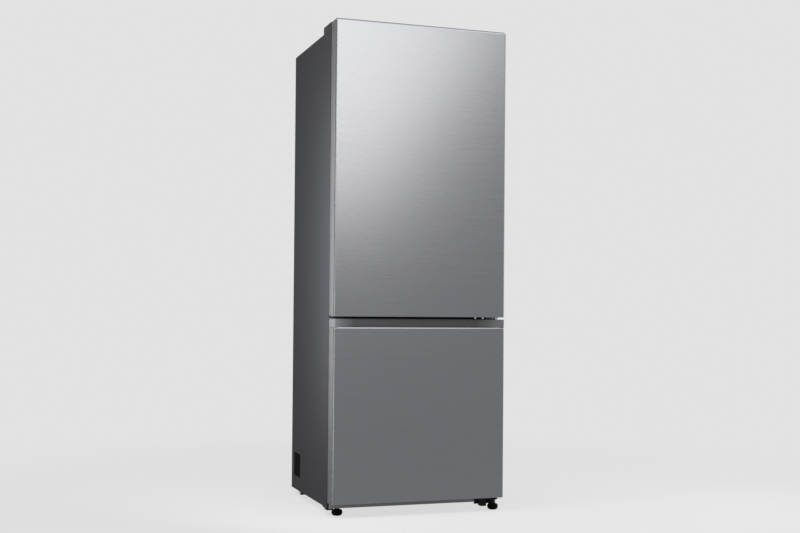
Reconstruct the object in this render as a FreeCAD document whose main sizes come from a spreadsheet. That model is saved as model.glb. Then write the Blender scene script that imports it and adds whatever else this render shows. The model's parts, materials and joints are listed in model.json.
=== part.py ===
"""A tall bottom-freezer fridge, as a parametric document of separate pieces.

Millimetres. The origin is on the floor under the middle of the whole appliance. +X is to the right
and -Y to the front, for someone who stands before the doors, and +Z is up. Both doors hang on the
right.
"""
import FreeCAD, Part
import math
import os

import Sketcher
from FreeCAD import Rotation, Vector

SIZES = {
    # the whole appliance
    "cabinet_width": 750,
    "overall_height": 2030,
    "overall_depth": 700,
    "door_thickness": 70,
    "door_gap": 10,
    "door_step": 13,
    "freezer_door_low": 56.5,
    "freezer_door_high": 808,
    "seat_gap": 0.3,
    "overrun": 1,
    # sheet and mouldings
    "steel": 0.8,
    "wall": 2.5,
    # cabinet shell
    "shell_bottom": 34,
    "shell_flange": 14,
    "cover_height": 29,
    "cover_depth": 115,
    "cover_round": 6,
    "spacer_depth": 13,
    "spacer_width": 36,
    "spacer_height": 60,
    "spacer_spread": 520,
    "spacer_low": 420,
    "spacer_head": 141,
    # insulated walls and the two compartments
    "fridge_side_wall": 45,
    "freezer_side_wall": 60,
    "back_wall": 60,
    "fridge_low": 855,
    "fridge_top_wall": 51,
    "freezer_low": 100,
    "freezer_high": 790,
    "liner_corner": 8,
    "liner_flange_low": 63,
    "mullion_low": 797,
    "mullion_high": 848,
    "mullion_depth": 15,
    # base pan and compressor bay
    "base_sheet": 1.2,
    "base_lip": 28,
    "bay_foot": 267,
    "bay_head": 219,
    "bay_roof_gap": 52,
    "bay_wall": 50,
    "step_height": 342,
    # shelf ledges
    "ledge_height": 10,
    "ledge_width": 14,
    "ledge_front_setback": 112,
    "crisper_cover_level": 1090,
    "freezer_ledge_setback": 40,
    "freezer_shelf_pitch": 224,
    # shelves
    "glass": 4,
    "shelf_side_gap": 5,
    "shelf_front_setback": 120,
    "shelf_back_gap": 42,
    "trim_lip": 4,
    "trim_grip": 14,
    "trim_skin": 3,
    "crisper_cover_apron": 6,
    # plinth, base bracket and feet
    "kick_high": 54,
    "kick_depth": 8,
    "kick_end_gap": 8,
    "bracket_width": 74,
    "bracket_depth": 70,
    "bracket_sheet": 3,
    "bracket_cheek_low": 14,
    "bracket_nose": 18,
    "foot_radius": 22.5,
    "foot_height": 18,
    "foot_chamfer": 6,
    "foot_stud_radius": 5,
    "foot_boss_radius": 11,
    "foot_boss_gap": 2,
    "thread_gap": 0.1,
    "left_foot_inset": 46,
    "left_foot_setback": 88,
    "right_foot_inset": 26,
    "right_foot_setback": 52,
    # hinges
    "pin_inset": 24,
    "pin_setback": 32,
    "pin_radius": 5,
    "pin_gap": 0.1,
    "pin_reach": 16,
    "pin_bore_extra": 2,
    "boss_radius": 11,
    "hinge_plate": 3,
    "hinge_eye_radius": 9,
    "top_arm_left": 35,
    "top_arm_right": 3,
    "top_arm_neck": 26,
    "top_plate_left": 51,
    "top_plate_right": 15,
    "top_plate_depth": 85,
    "middle_plate_left": 89,
    "middle_plate_nose": 16,
    "middle_arm_left": 33,
    "middle_plate_height": 5,
    "middle_flange_height": 11,
    "middle_flange_thick": 4,
    "lower_plate_left": 77,
    "lower_plate_top": 50,
    "lower_plate_thick": 4,
    "lower_flange_low": 22,
    "lower_web_low": 13,
    "lower_web_width": 34,
    "lower_web_depth": 14,
    "screw_head_radius": 5,
    "screw_head_height": 3,
    "screw_shank_radius": 2.5,
    # side grilles
    "vent_rear": 45,
    "vent_width": 110,
    "vent_low": 94,
    "vent_height": 104,
    "vent_frame": 5,
    "vent_rim": 8,
    "vent_plate": 2.4,
    "hex_across": 13.2,
    "hex_pitch": 16.8,
    # compressor plate, rollers and compressor
    "cross_plate_depth": 205,
    "roller_radius": 17,
    "roller_width": 20,
    "roller_inset": 42,
    "roller_rear": 36,
    "axle_radius": 4,
    "ear_thick": 2.5,
    "ear_half_width": 13,
    "ear_low": 8,
    "compressor_radius": 76,
    "compressor_dome": 24,
    "compressor_heel": 14,
    "compressor_side_gap": 184.2,
    "compressor_rear": 112,
    "compressor_foot_thick": 3,
    "compressor_foot_half": 92,
    "compressor_foot_width": 30,
    "terminal_width": 46,
    "terminal_height": 52,
    "terminal_depth": 22,
    "grommet_radius": 13,
    "grommet_height": 15,
    # condenser, its fan and the drip tray
    "coil_tube_thick": 3,
    "coil_tube_depth": 16,
    "coil_pitch": 36,
    "coil_runs": 5,
    "coil_left": 48,
    "coil_right": 90,
    "coil_low": 66,
    "coil_rear": 120,
    "coil_foot": 12,
    "fan_plate_gap": 150,
    "fan_plate": 2.5,
    "fan_plate_front": 215,
    "fan_plate_rear": 26,
    "fan_plate_roof_gap": 28,
    "condenser_fan_radius": 62,
    "fan_tip_gap": 3,
    "fan_hub_radius": 18,
    "fan_hub_length": 16,
    "fan_shaft_radius": 2.5,
    "fan_motor_radius": 20,
    "fan_motor_length": 26,
    "fan_spoke_width": 10,
    "fan_motor_gap": 4,
    "blade_thick": 1.6,
    "blade_rise": 6,
    "blade_chord": 15,
    "blades": 5,
    "fan_rear": 118,
    "tray_half_width": 105,
    "tray_depth": 130,
    "tray_height": 32,
    "tray_roof_gap": 37,
    # rear cover
    "rear_cover_low": 40,
    "rear_cover_thick": 2,
    "slot_height": 5,
    "slot_pitch": 18,
    "slot_rows": 10,
    "slot_half_width": 120,
    "slot_gap": 40,
    # freezer air system
    "panel_back_gap": 86,
    "panel_thick": 3,
    "evaporator_fan_radius": 48,
    "evaporator_fan_drop": 100,
    "evaporator_width": 440,
    "evaporator_depth": 56,
    "evaporator_lift": 38,
    "evaporator_height": 200,
    "fin_count": 8,
    "fin_thick": 1.2,
    "fin_tube_radius": 5,
    "evaporator_rear_gap": 0.3,
    "panel_slot_height": 8,
    "panel_slot_half_width": 150,
    # fridge duct and lamp
    "duct_half_width": 110,
    "duct_depth": 18,
    "duct_foot_gap": 45,
    "duct_head_gap": 50,
    "duct_chamfer": 10,
    "lamp_half_width": 90,
    "lamp_depth": 60,
    "lamp_thick": 8,
    "lamp_setback": 60,
    "lamp_bevel": 2.5,
    # doors
    "skin_return": 40,
    "door_corner": 6,
    "cap_rim": 4,
    "trim_return": 13,
    "cap_height": 12,
    "notch_left": 55,
    "notch_front": 20,
    "notch_floor": 1.5,
    "notch_wall": 15,
    "cap_block_left": 90,
    "door_plate": 3,
    "fridge_dyke_inset": 55,
    "freezer_dyke_inset": 70,
    "dyke_wall": 32,
    "fridge_dyke_depth": 45,
    "freezer_dyke_depth": 28,
    "fridge_dyke_gap": 25,
    "freezer_dyke_gap": 28,
    "gasket_inset": 25,
    "gasket_width": 15,
    "gasket_end_inset": 15,
    "gasket_freezer_foot": 11.5,
    "gasket_freezer_head": 2,
    # freezer grip
    "grip_low": 748,
    "panel_top": 773.6,
    "grip_end": 12,
    "grip_ramp": 102,
    "grip_lip": 4,
    "grip_channel": 26,
    "grip_channel_drop": 10,
    # door bins
    "bin_depth": 112,
    "bin_side_gap": 3,
    "bin_height": 92,
    "bottle_bin_height": 135,
    "bin_corner": 3,
    "bottle_bin_lift": 45,
    "bin_lug_height": 10,
    "bin_lug_width": 8,
    "bin_lug_depth": 30,
    "tub_corner": 8,
    # drawers
    "crisper_front_setback": 120,
    "crisper_back_gap": 42,
    "crisper_head_gap": 17,
    "crisper_middle_gap": 3,
    "crisper_left_gap": 4,
    "crisper_right_gap": 30,
    "drawer_front_setback": 32,
    "drawer_left_gap": 7,
    "drawer_right_gap": 16,
    "drawer_low_head_gap": 16,
    "drawer_head_gap": 23.5,
    "drawer_low_back_gap": 8,
    "drawer_back_gap": 9,
    "drawer_front_wall": 4,
    "pull_depth": 10,
    "pull_height": 18,
    "pull_wall": 3,
}

# Sides of the round forms that aren't bores, pins or studs
HUB_SIDE_COUNT = 20
BOSS_SIDE_COUNT = 12
SCREW_SIDE_COUNT = 6
RING_SIDE_COUNT = 32

BODY_PLANES = {"front": "XZ_Plane", "side": "YZ_Plane", "top": "XY_Plane"}


class Size:
    """A size that stays bound to the sheet: its number now, and its expression."""

    def __init__(self, number, text):
        self.number = float(number)
        self.text = text

    def __add__(self, other):
        return Size(self.number + number(other), "(%s + %s)" % (self.text, text(other)))

    def __radd__(self, other):
        return Size(number(other) + self.number, "(%s + %s)" % (text(other), self.text))

    def __sub__(self, other):
        return Size(self.number - number(other), "(%s - %s)" % (self.text, text(other)))

    def __rsub__(self, other):
        return Size(number(other) - self.number, "(%s - %s)" % (text(other), self.text))

    def __mul__(self, other):
        return Size(self.number * number(other), "(%s * %s)" % (self.text, text(other)))

    __rmul__ = __mul__

    def __truediv__(self, other):
        return Size(self.number / number(other), "(%s / %s)" % (self.text, text(other)))

    def __neg__(self):
        return Size(-self.number, "(0 - %s)" % self.text)


def number(value):
    return value.number if isinstance(value, Size) else float(value)


def text(value):
    return value.text if isinstance(value, Size) else repr(value)


class Sheet:
    """The spreadsheet of driving dimensions; each is read as an attribute."""

    def __init__(self, document, sizes):
        table = document.addObject("Spreadsheet::Sheet", "Sizes")
        for row, (name, value) in enumerate(sizes.items(), start=1):
            table.set("A%d" % row, name)
            table.set("B%d" % row, str(value))
            table.setAlias("B%d" % row, name)
            setattr(self, name, Size(value, "Sizes." + name))


doc = FreeCAD.newDocument("fridge_freezer")
s = Sheet(doc, SIZES)
doc.recompute()

# How far up from the crispers' cover to the ceiling the three shelves lie
SHELF_LEVEL_SHARES = (0.279, 0.523, 0.767)

# Planes and edges that several pieces share
half = s.cabinet_width / 2
front = -s.overall_depth / 2
door_back = front + s.door_thickness
cabinet_front = door_back + s.door_gap
cabinet_back = s.overall_depth / 2 - s.spacer_depth
cabinet_top = s.overall_height - s.cover_height
inner = half - s.steel
fridge_door_low = s.freezer_door_high + s.door_step
fridge_door_high = s.overall_height
fridge_skin_high = fridge_door_high - s.cap_rim
fridge_high = cabinet_top - s.fridge_top_wall
fridge_x = half - s.fridge_side_wall
freezer_x = half - s.freezer_side_wall
cavity_back = cabinet_back - s.back_wall
shell_lip = half - s.shell_flange
pin_x = half - s.pin_inset
pin_y = front + s.pin_setback
floor_top = s.shell_bottom + s.base_sheet
bay_foot_y = cabinet_back - s.bay_foot
bay_head_y = cabinet_back - s.bay_head
bay_top = s.step_height - s.bay_roof_gap
bay_slope = (bay_head_y - bay_foot_y) / (bay_top - s.shell_bottom)
shelf_front = cabinet_front + s.shelf_front_setback
shelf_back = cavity_back - s.shelf_back_gap
shelf_room = fridge_high - s.crisper_cover_level
shelf_levels = [s.crisper_cover_level + shelf_room * share for share in SHELF_LEVEL_SHARES]
freezer_shelf_levels = [s.step_height + s.seat_gap, s.step_height + s.freezer_shelf_pitch]
panel_back = cavity_back - s.panel_back_gap
bay_rear = cabinet_back - s.steel

pieces = []


def new_body(name):
    """An empty body for one sub-part."""
    body = doc.addObject("PartDesign::Body", name)
    body.Label = name
    body.AllowCompound = True
    pieces.append(body)
    return body


def new_shape(name, shape, place=None):
    """A sub-part whose shape is worked out with the Part module."""
    piece = doc.addObject("Part::Feature", name)
    piece.Label = name
    piece.Shape = shape
    if place:
        piece.Placement = place
    pieces.append(piece)
    return piece


def new_group(name, members):
    """Several separate solids under one name, such as a set of screws."""
    group = doc.addObject("Part::Compound", name)
    group.Label = name
    group.Links = members
    pieces.append(group)
    return group


def origin_of(body, role):
    return [item for item in body.Origin.OriginFeatures if item.Role == role][0]


def rect(u, v):
    """A rectangle from two pairs of limits."""
    return [(u[0], v[0]), (u[1], v[0]), (u[1], v[1]), (u[0], v[1])]


def clipped(u, v, corner):
    """A rectangle with its corners cut at a slant."""
    return [(u[0] + corner, v[0]), (u[1] - corner, v[0]), (u[1], v[0] + corner),
            (u[1], v[1] - corner), (u[1] - corner, v[1]), (u[0] + corner, v[1]),
            (u[0], v[1] - corner), (u[0], v[0] + corner)]


def polygon(u, v, radius, sides):
    """A regular outline with a corner at its top."""
    turns = [math.radians(360 * corner / sides) for corner in range(sides)]
    return [(u + radius * math.sin(turn), v + radius * math.cos(turn)) for turn in turns]


def mirrored(corners):
    """The same outline on the other side of the middle."""
    return [(-u, v) for u, v in reversed(corners)]


def circle(u, v, radius):
    return {"circle": (u, v, radius)}


def rounded(u, v, radius):
    """A rectangle with round corners."""
    return {"rounded": (u, v, radius)}


def bind_point(drawing, rules, texts, geometry, vertex, u, v):
    """Two rules that hold one point of a sketch at its place."""
    for kind, value in (("DistanceX", u), ("DistanceY", v)):
        rules.append(Sketcher.Constraint(kind, -1, 1, geometry, vertex, number(value)))
        texts.append(text(value))


def draw_corners(drawing, corners):
    """A closed run of straight lines with every corner bound to the sheet."""
    first = drawing.GeometryCount
    count = len(corners)
    points = [Vector(number(u), number(v), 0) for u, v in corners]
    lines = [Part.LineSegment(points[i], points[(i + 1) % count]) for i in range(count)]
    drawing.addGeometry(lines, False)
    rules = []
    texts = []
    for i in range(count):
        rules.append(Sketcher.Constraint("Coincident", first + i, 2, first + (i + 1) % count, 1))
        texts.append(None)
    for i, (u, v) in enumerate(corners):
        bind_point(drawing, rules, texts, first + i, 1, u, v)
    return rules, texts


def draw_circle(drawing, u, v, radius):
    index = drawing.GeometryCount
    centre = Vector(number(u), number(v), 0)
    drawing.addGeometry(Part.Circle(centre, Vector(0, 0, 1), number(radius)), False)
    rules = []
    texts = []
    bind_point(drawing, rules, texts, index, 3, u, v)
    rules.append(Sketcher.Constraint("Radius", index, number(radius)))
    texts.append(text(radius))
    return rules, texts


def draw_rounded(drawing, u, v, radius):
    """Four lines and four corner arcs, each line end bound to the sheet."""
    first = drawing.GeometryCount
    ends = [
        (u[0] + radius, v[0]), (u[1] - radius, v[0]),
        (u[1], v[0] + radius), (u[1], v[1] - radius),
        (u[1] - radius, v[1]), (u[0] + radius, v[1]),
        (u[0], v[1] - radius), (u[0], v[0] + radius),
    ]
    centres = [
        (u[1] - radius, v[0] + radius), (u[1] - radius, v[1] - radius),
        (u[0] + radius, v[1] - radius), (u[0] + radius, v[0] + radius),
    ]
    points = [Vector(number(a), number(b), 0) for a, b in ends]
    for side in range(4):
        drawing.addGeometry(Part.LineSegment(points[2 * side], points[2 * side + 1]), False)
    for corner, (a, b) in enumerate(centres):
        middle = Vector(number(a), number(b), 0)
        ring = Part.Circle(middle, Vector(0, 0, 1), number(radius))
        start = math.radians(90 * corner - 90)
        drawing.addGeometry(Part.ArcOfCircle(ring, start, start + math.radians(90)), False)
    rules = []
    texts = []
    for side in range(4):
        bind_point(drawing, rules, texts, first + side, 1, *ends[2 * side])
        bind_point(drawing, rules, texts, first + side, 2, *ends[2 * side + 1])
    for corner in range(4):
        arc = first + 4 + corner
        rules.append(Sketcher.Constraint("Coincident", first + corner, 2, arc, 1))
        texts.append(None)
        rules.append(Sketcher.Constraint("Coincident", arc, 2, first + (corner + 1) % 4, 1))
        texts.append(None)
        rules.append(Sketcher.Constraint("Radius", arc, number(radius)))
        texts.append(text(radius))
    return rules, texts


def sketch(body, plane, at, loops):
    """A sketch on one of the body's planes, moved along that plane's normal to a level."""
    drawing = body.newObject("Sketcher::SketchObject", "outline")
    drawing.AttachmentSupport = [(origin_of(body, BODY_PLANES[plane]), "")]
    drawing.MapMode = "FlatFace"
    offset = -at if plane == "front" else at
    if isinstance(offset, Size):
        drawing.setExpression("AttachmentOffset.Base.z", offset.text)
    for loop in loops:
        before = drawing.ConstraintCount
        if isinstance(loop, dict) and "circle" in loop:
            rules, texts = draw_circle(drawing, *loop["circle"])
        elif isinstance(loop, dict):
            rules, texts = draw_rounded(drawing, *loop["rounded"])
        else:
            rules, texts = draw_corners(drawing, loop)
        drawing.addConstraint(rules)
        for index, expression in enumerate(texts):
            if expression and "Sizes" in expression:
                drawing.setExpression("Constraints[%d]" % (before + index), expression)
    return drawing


def pad(body, plane, span, *loops):
    """Material between two levels of a plane, inside the loops."""
    low, high = span
    drawing = sketch(body, plane, high if plane == "front" else low, loops)
    feature = body.newObject("PartDesign::Pad", "pad")
    feature.Profile = drawing
    feature.setExpression("Length", text(high - low))
    return feature


def cut(body, plane, span, *loops):
    """A pocket between two levels of a plane, inside the loops."""
    low, high = span
    drawing = sketch(body, plane, low if plane == "front" else high, loops)
    feature = body.newObject("PartDesign::Pocket", "pocket")
    feature.Profile = drawing
    feature.setExpression("Length", text(high - low))
    return feature


def round_edges(body, base, radius, wanted, kind="PartDesign::Fillet"):
    """Rounds or chamfers the edges of a feature that `wanted` picks by their middle and box."""
    doc.recompute()
    names = []
    for index, edge in enumerate(base.Shape.Edges, start=1):
        box = edge.BoundBox
        if wanted(box.Center, box):
            names.append("Edge%d" % index)
    feature = body.newObject(kind, "rounding")
    feature.Base = (base, names)
    name = "Radius" if kind.endswith("Fillet") else "Size"
    feature.setExpression(name, text(radius))
    return feature


def span_about(middle, width):
    return (middle - width / 2, middle + width / 2)


def on_plane(value, target):
    """True where a measured place is at a named one."""
    return abs(value - number(target)) < 1e-4


def step_y(level):
    """The front of the sloping step over the compressor bay, at a height inside the freezer."""
    return bay_foot_y - s.bay_wall + bay_slope * (level - s.shell_bottom)


# The cabinet

def cabinet_shell():
    """The wrap: one sheet over both sides and the top, with a return at front and back."""
    body = new_body("cabinet_shell")
    pad(body, "front", (cabinet_front, cabinet_back), [
        (-half, s.shell_bottom), (-inner, s.shell_bottom), (-inner, cabinet_top - s.steel),
        (inner, cabinet_top - s.steel), (inner, s.shell_bottom), (half, s.shell_bottom),
        (half, cabinet_top), (-half, cabinet_top)])
    lip_top = cabinet_top - s.shell_flange
    for low in (cabinet_front, cabinet_back - s.steel):
        pad(body, "front", (low, low + s.steel), [
            (-half, s.shell_bottom), (-shell_lip, s.shell_bottom), (-shell_lip, lip_top),
            (shell_lip, lip_top), (shell_lip, s.shell_bottom), (half, s.shell_bottom),
            (half, cabinet_top), (-half, cabinet_top)])
    cut(body, "side", (-half - s.overrun, half + s.overrun), rect(vent_y, vent_z))


vent_high_y = cabinet_back - s.vent_rear
vent_y = (vent_high_y - s.vent_width, vent_high_y)
vent_z = (s.vent_low, s.vent_low + s.vent_height)

HEX_ROW_SHARE = math.sqrt(3) / 2


def side_grilles():
    """On each side a snap-in plate with a rim behind the sheet and staggered six-sided holes."""
    body = new_body("side_grilles")
    for plate in ((-half, -half + s.vent_plate), (half - s.vent_plate, half)):
        pad(body, "side", plate, rect(vent_y, vent_z))
    wide_y = (vent_y[0] - s.vent_frame, vent_y[1] + s.vent_frame)
    wide_z = (vent_z[0] - s.vent_frame, vent_z[1] + s.vent_frame)
    for rim in ((-inner, -inner + s.vent_plate), (inner - s.vent_plate, inner)):
        pad(body, "side", rim, rect(wide_y, wide_z))
    row_pitch = s.hex_pitch * HEX_ROW_SHARE
    columns = int((SIZES["vent_width"] - 2 * SIZES["vent_rim"]) / SIZES["hex_pitch"])
    rows = int((SIZES["vent_height"] - 2 * SIZES["vent_rim"]) / (2 * number(row_pitch)))
    first_y = (vent_y[0] + vent_y[1]) / 2 - s.hex_pitch * (columns - 0.5) / 2
    first_z = (vent_z[0] + vent_z[1]) / 2 - row_pitch * (2 * rows - 1) / 2
    corner = s.hex_across / math.sqrt(3)
    holes = cut(body, "side", (-half - s.overrun, half + s.overrun),
                polygon(first_y, first_z, corner, 6),
                polygon(first_y + s.hex_pitch / 2, first_z + row_pitch, corner, 6))
    grid = body.newObject("PartDesign::MultiTransform", "grid")
    grid.Originals = [holes]
    runs = []
    for axis, count, pitch in (("Y_Axis", columns, s.hex_pitch), ("Z_Axis", rows, 2 * row_pitch)):
        run = body.newObject("PartDesign::LinearPattern", "run")
        run.Direction = (origin_of(body, axis), [""])
        run.Occurrences = count
        run.setExpression("Length", text(pitch * (count - 1)))
        runs.append(run)
    grid.Transformations = runs
    body.Tip = grid


def back_panel():
    body = new_body("back_panel")
    pad(body, "front", (bay_rear - s.steel, bay_rear),
        rect((-inner, inner), (bay_top, cabinet_top - s.steel)))


def rear_spacers():
    """Four blocks that keep the back off the wall."""
    body = new_body("rear_spacers")
    blocks = []
    for x in (-s.spacer_spread / 2, s.spacer_spread / 2):
        for z in (s.spacer_low, cabinet_top - s.spacer_head):
            blocks.append(rect(span_about(x, s.spacer_width), span_about(z, s.spacer_height)))
    pad(body, "front", (bay_rear, s.overall_depth / 2), *blocks)


def freezer_profile(grow):
    """The freezer liner seen from the side, grown outwards by a wall."""
    low = s.freezer_low - grow
    step = s.step_height - grow
    return [
        (cabinet_front, low), (step_y(low) + grow, low), (step_y(step) + grow, step),
        (cavity_back + grow, step), (cavity_back + grow, s.freezer_high + grow),
        (cabinet_front, s.freezer_high + grow)]


def cabinet_foam():
    """The insulation, moulded round both liners and the compressor bay."""
    body = new_body("cabinet_foam")
    foam_front = cabinet_front + s.wall
    back = bay_rear - s.steel
    bay_roof = bay_top + s.base_sheet
    pad(body, "side", (-inner, inner), [
        (foam_front, floor_top), (bay_foot_y - s.base_sheet, floor_top),
        (bay_head_y - s.base_sheet, bay_roof), (back, bay_roof),
        (back, cabinet_top - s.steel), (foam_front, cabinet_top - s.steel)])
    outer_x = fridge_x + s.wall
    cut(body, "front", (foam_front, cavity_back + s.wall),
        rect((-outer_x, outer_x), (s.fridge_low - s.wall, fridge_high + s.wall)))
    outer_x = freezer_x + s.wall
    cut(body, "side", (-outer_x, outer_x), freezer_profile(s.wall))
    cut(body, "side", (-shell_lip, shell_lip), rect(
        (foam_front, cabinet_front + s.mullion_depth), (s.mullion_low, s.mullion_high)))


def add_ledges(body, x, y, level):
    """A moulded ledge on each side wall, with its top at a level."""
    right = rect((x - s.ledge_width, x + s.wall / 2), (level - s.ledge_height, level))
    pad(body, "front", y, right, mirrored(right))


def fridge_liner():
    """An open moulded box with a front flange and a ledge pair for each shelf."""
    body = new_body("fridge_liner")
    outer_x = fridge_x + s.wall
    pad(body, "front", (cabinet_front, cavity_back + s.wall),
        rect((-outer_x, outer_x), (s.fridge_low - s.wall, fridge_high + s.wall)))
    pad(body, "front", (cabinet_front, cabinet_front + s.wall),
        rect((-shell_lip, shell_lip), (s.mullion_high, cabinet_top - s.shell_flange)))
    cut(body, "front", (cabinet_front - s.overrun, cavity_back),
        rounded((-fridge_x, fridge_x), (s.fridge_low, fridge_high), s.liner_corner))
    ledge_y = (cabinet_front + s.ledge_front_setback, cavity_back + s.wall / 2)
    for level in [s.crisper_cover_level] + shelf_levels:
        add_ledges(body, fridge_x, ledge_y, level)


def freezer_liner():
    """An open moulded box whose floor steps up over the compressor bay."""
    body = new_body("freezer_liner")
    outer_x = freezer_x + s.wall
    pad(body, "side", (-outer_x, outer_x), freezer_profile(s.wall))
    pad(body, "front", (cabinet_front, cabinet_front + s.wall),
        rect((-shell_lip, shell_lip), (s.liner_flange_low, s.mullion_low)))
    cut(body, "side", (-freezer_x, freezer_x), [
        (cabinet_front - s.overrun, s.freezer_low)] + freezer_profile(0)[1:5] + [
        (cabinet_front - s.overrun, s.freezer_high)])
    start = cabinet_front + s.freezer_ledge_setback
    step_level, high_level = freezer_shelf_levels
    add_ledges(body, freezer_x, (start, step_y(step_level) + s.seat_gap), step_level)
    add_ledges(body, freezer_x, (start, panel_back), high_level)


def mullion_bar():
    """A channel across the front between the two compartments."""
    body = new_body("mullion_bar")
    low_y, high_y = cabinet_front, cabinet_front + s.mullion_depth
    low, high = s.mullion_low, s.mullion_high
    pad(body, "side", (-shell_lip, shell_lip), [
        (low_y, low), (high_y, low), (high_y, low + s.wall), (low_y + s.wall, low + s.wall),
        (low_y + s.wall, high - s.wall), (high_y, high - s.wall), (high_y, high), (low_y, high)])


def top_cover():
    """The hollow cover behind the fridge door, open below, with a slot for the hinge arm."""
    body = new_body("top_cover")
    back = cabinet_front + s.cover_depth
    shell = pad(body, "top", (cabinet_top, s.overall_height),
                rect((-half, half), (cabinet_front, back)))
    soft = round_edges(body, shell, s.cover_round, lambda middle, box: (
        on_plane(middle.z, s.overall_height) and on_plane(middle.y, back)))
    cut(body, "top", (cabinet_top - s.overrun, s.overall_height - s.wall),
        rect((-half + s.wall, half - s.wall), (cabinet_front + s.wall, back - s.wall)))
    cut(body, "front", (cabinet_front - s.overrun, cabinet_front + s.wall + s.overrun), rect(
        (pin_x - s.top_arm_left - s.overrun, pin_x - s.top_arm_right + s.overrun),
        (cabinet_top - s.overrun, cabinet_top + s.hinge_plate + s.overrun)))
    return soft


def base_frame():
    """The folded pan under the cabinet: front lip, floor, slope and roof of the compressor bay."""
    body = new_body("base_frame")
    sheet = s.base_sheet
    low, roof = s.shell_bottom, bay_top
    pad(body, "side", (-inner, inner), [
        (cabinet_front, low + s.base_lip), (cabinet_front, low), (bay_foot_y, low),
        (bay_head_y, roof), (bay_rear, roof), (bay_rear, roof + sheet),
        (bay_head_y - sheet, roof + sheet), (bay_foot_y - sheet, low + sheet),
        (cabinet_front + sheet, low + sheet), (cabinet_front + sheet, low + s.base_lip)])
    cut(body, "side", (shell_lip, inner + s.overrun),
        rect((cabinet_front - s.overrun, cabinet_front + s.steel), (low - s.overrun, low + 2 * s.base_lip)))
    cut(body, "side", (-inner - s.overrun, -shell_lip),
        rect((cabinet_front - s.overrun, cabinet_front + s.steel), (low - s.overrun, low + 2 * s.base_lip)))
    cut(body, "front", (bay_rear - s.steel, bay_rear + s.overrun),
        rect((-inner - s.overrun, inner + s.overrun), (roof - s.overrun, roof + 2 * sheet)))


def kick_plate():
    """The plinth: a channel strip on the base pan's lip, ending at the lower hinge."""
    body = new_body("kick_plate")
    low_y, high_y = cabinet_front - s.kick_depth, cabinet_front
    low, high = s.shell_bottom - s.bracket_sheet + s.seat_gap, s.kick_high
    right = pin_x - s.lower_plate_left - s.overrun
    pad(body, "side", (-half + s.kick_end_gap, right), [
        (low_y, low), (high_y, low), (high_y, low + s.wall), (low_y + s.wall, low + s.wall),
        (low_y + s.wall, high - s.wall), (high_y, high - s.wall), (high_y, high), (low_y, high)])


left_foot = (-half + s.left_foot_inset, front + s.left_foot_setback)
right_foot = (half - s.right_foot_inset, front + s.right_foot_setback)


def base_bracket():
    """The front left corner bracket: a plate under the pan, a cheek and a threaded boss."""
    body = new_body("base_bracket")
    under = s.shell_bottom
    plate_low = under - s.bracket_sheet
    x = (-half, -half + s.bracket_width)
    y = (cabinet_front, cabinet_front + s.bracket_depth)
    pad(body, "top", (plate_low, under), rect(x, y))
    pad(body, "top", (s.foot_height + s.foot_boss_gap, plate_low),
        polygon(left_foot[0], left_foot[1], s.foot_boss_radius, BOSS_SIDE_COUNT))
    pad(body, "side", (x[0], x[0] + s.bracket_sheet), [
        (y[0], s.bracket_cheek_low), (y[0] + s.bracket_nose, s.bracket_cheek_low),
        (y[1], plate_low + s.bracket_sheet / 2), (y[0], plate_low + s.bracket_sheet / 2)])
    cut(body, "top", (s.foot_height, plate_low + s.bracket_sheet / 2),
        circle(left_foot[0], left_foot[1], s.foot_stud_radius + s.thread_gap))


def levelling_foot(name, place, stud_top):
    """A disc with flats for the hand and a threaded stud, which screws up into its bracket."""
    body = new_body(name)
    x, y = place
    rim = s.foot_radius
    disc = pad(body, "top", (0 * rim, s.foot_height), polygon(x, y, rim, FOOT_FLAT_COUNT))
    round_edges(body, disc, s.foot_chamfer, lambda middle, box: on_plane(box.ZMax, 0),
                "PartDesign::Chamfer")
    pad(body, "top", (s.foot_height, stud_top), circle(x, y, s.foot_stud_radius))


FOOT_FLAT_COUNT = 24


# Hinges

# A hole whose flats clear the screw's corners
screw_hole = s.screw_shank_radius / math.cos(math.pi / SCREW_SIDE_COUNT)


def top_hinge():
    """A plate on the cabinet top whose arm bends round the open door's corner to the pin."""
    body = new_body("top_hinge")
    low, high = cabinet_top, cabinet_top + s.hinge_plate
    neck_y = pin_y + s.top_arm_neck
    back = cabinet_front + s.top_plate_depth
    start = cabinet_front + s.wall
    pad(body, "top", (low, high), [
        (pin_x - s.hinge_eye_radius, pin_y), (pin_x + s.hinge_eye_radius, pin_y),
        (pin_x - s.top_arm_right, neck_y), (pin_x - s.top_arm_right, start),
        (pin_x + s.top_plate_right, start + s.top_plate_right), (pin_x + s.top_plate_right, back),
        (pin_x - s.top_plate_left, back), (pin_x - s.top_plate_left, start + s.top_plate_right),
        (pin_x - s.top_arm_left, start), (pin_x - s.top_arm_left, neck_y)])
    pad(body, "top", (low, high), circle(pin_x, pin_y, s.hinge_eye_radius))
    pad(body, "top", (low - s.pin_reach, low), circle(pin_x, pin_y, s.pin_radius))
    cut(body, "top", (low - s.overrun, high + s.overrun), *[
        polygon(x, y, screw_hole, SCREW_SIDE_COUNT) for x, y in top_screws()])


def top_screws():
    """Three screws in a triangle behind the arm."""
    near = cabinet_front + s.top_plate_depth / 2
    far = cabinet_front + s.top_plate_depth - 2 * s.screw_head_radius
    left = pin_x - s.top_plate_left + 2 * s.screw_head_radius
    right = pin_x + s.top_plate_right - 2 * s.screw_head_radius
    return [((left + right) / 2, near), (left, far), (right, far)]


middle_low = s.freezer_door_high + (s.door_step - s.middle_plate_height) / 2
middle_high = middle_low + s.middle_plate_height


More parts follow.
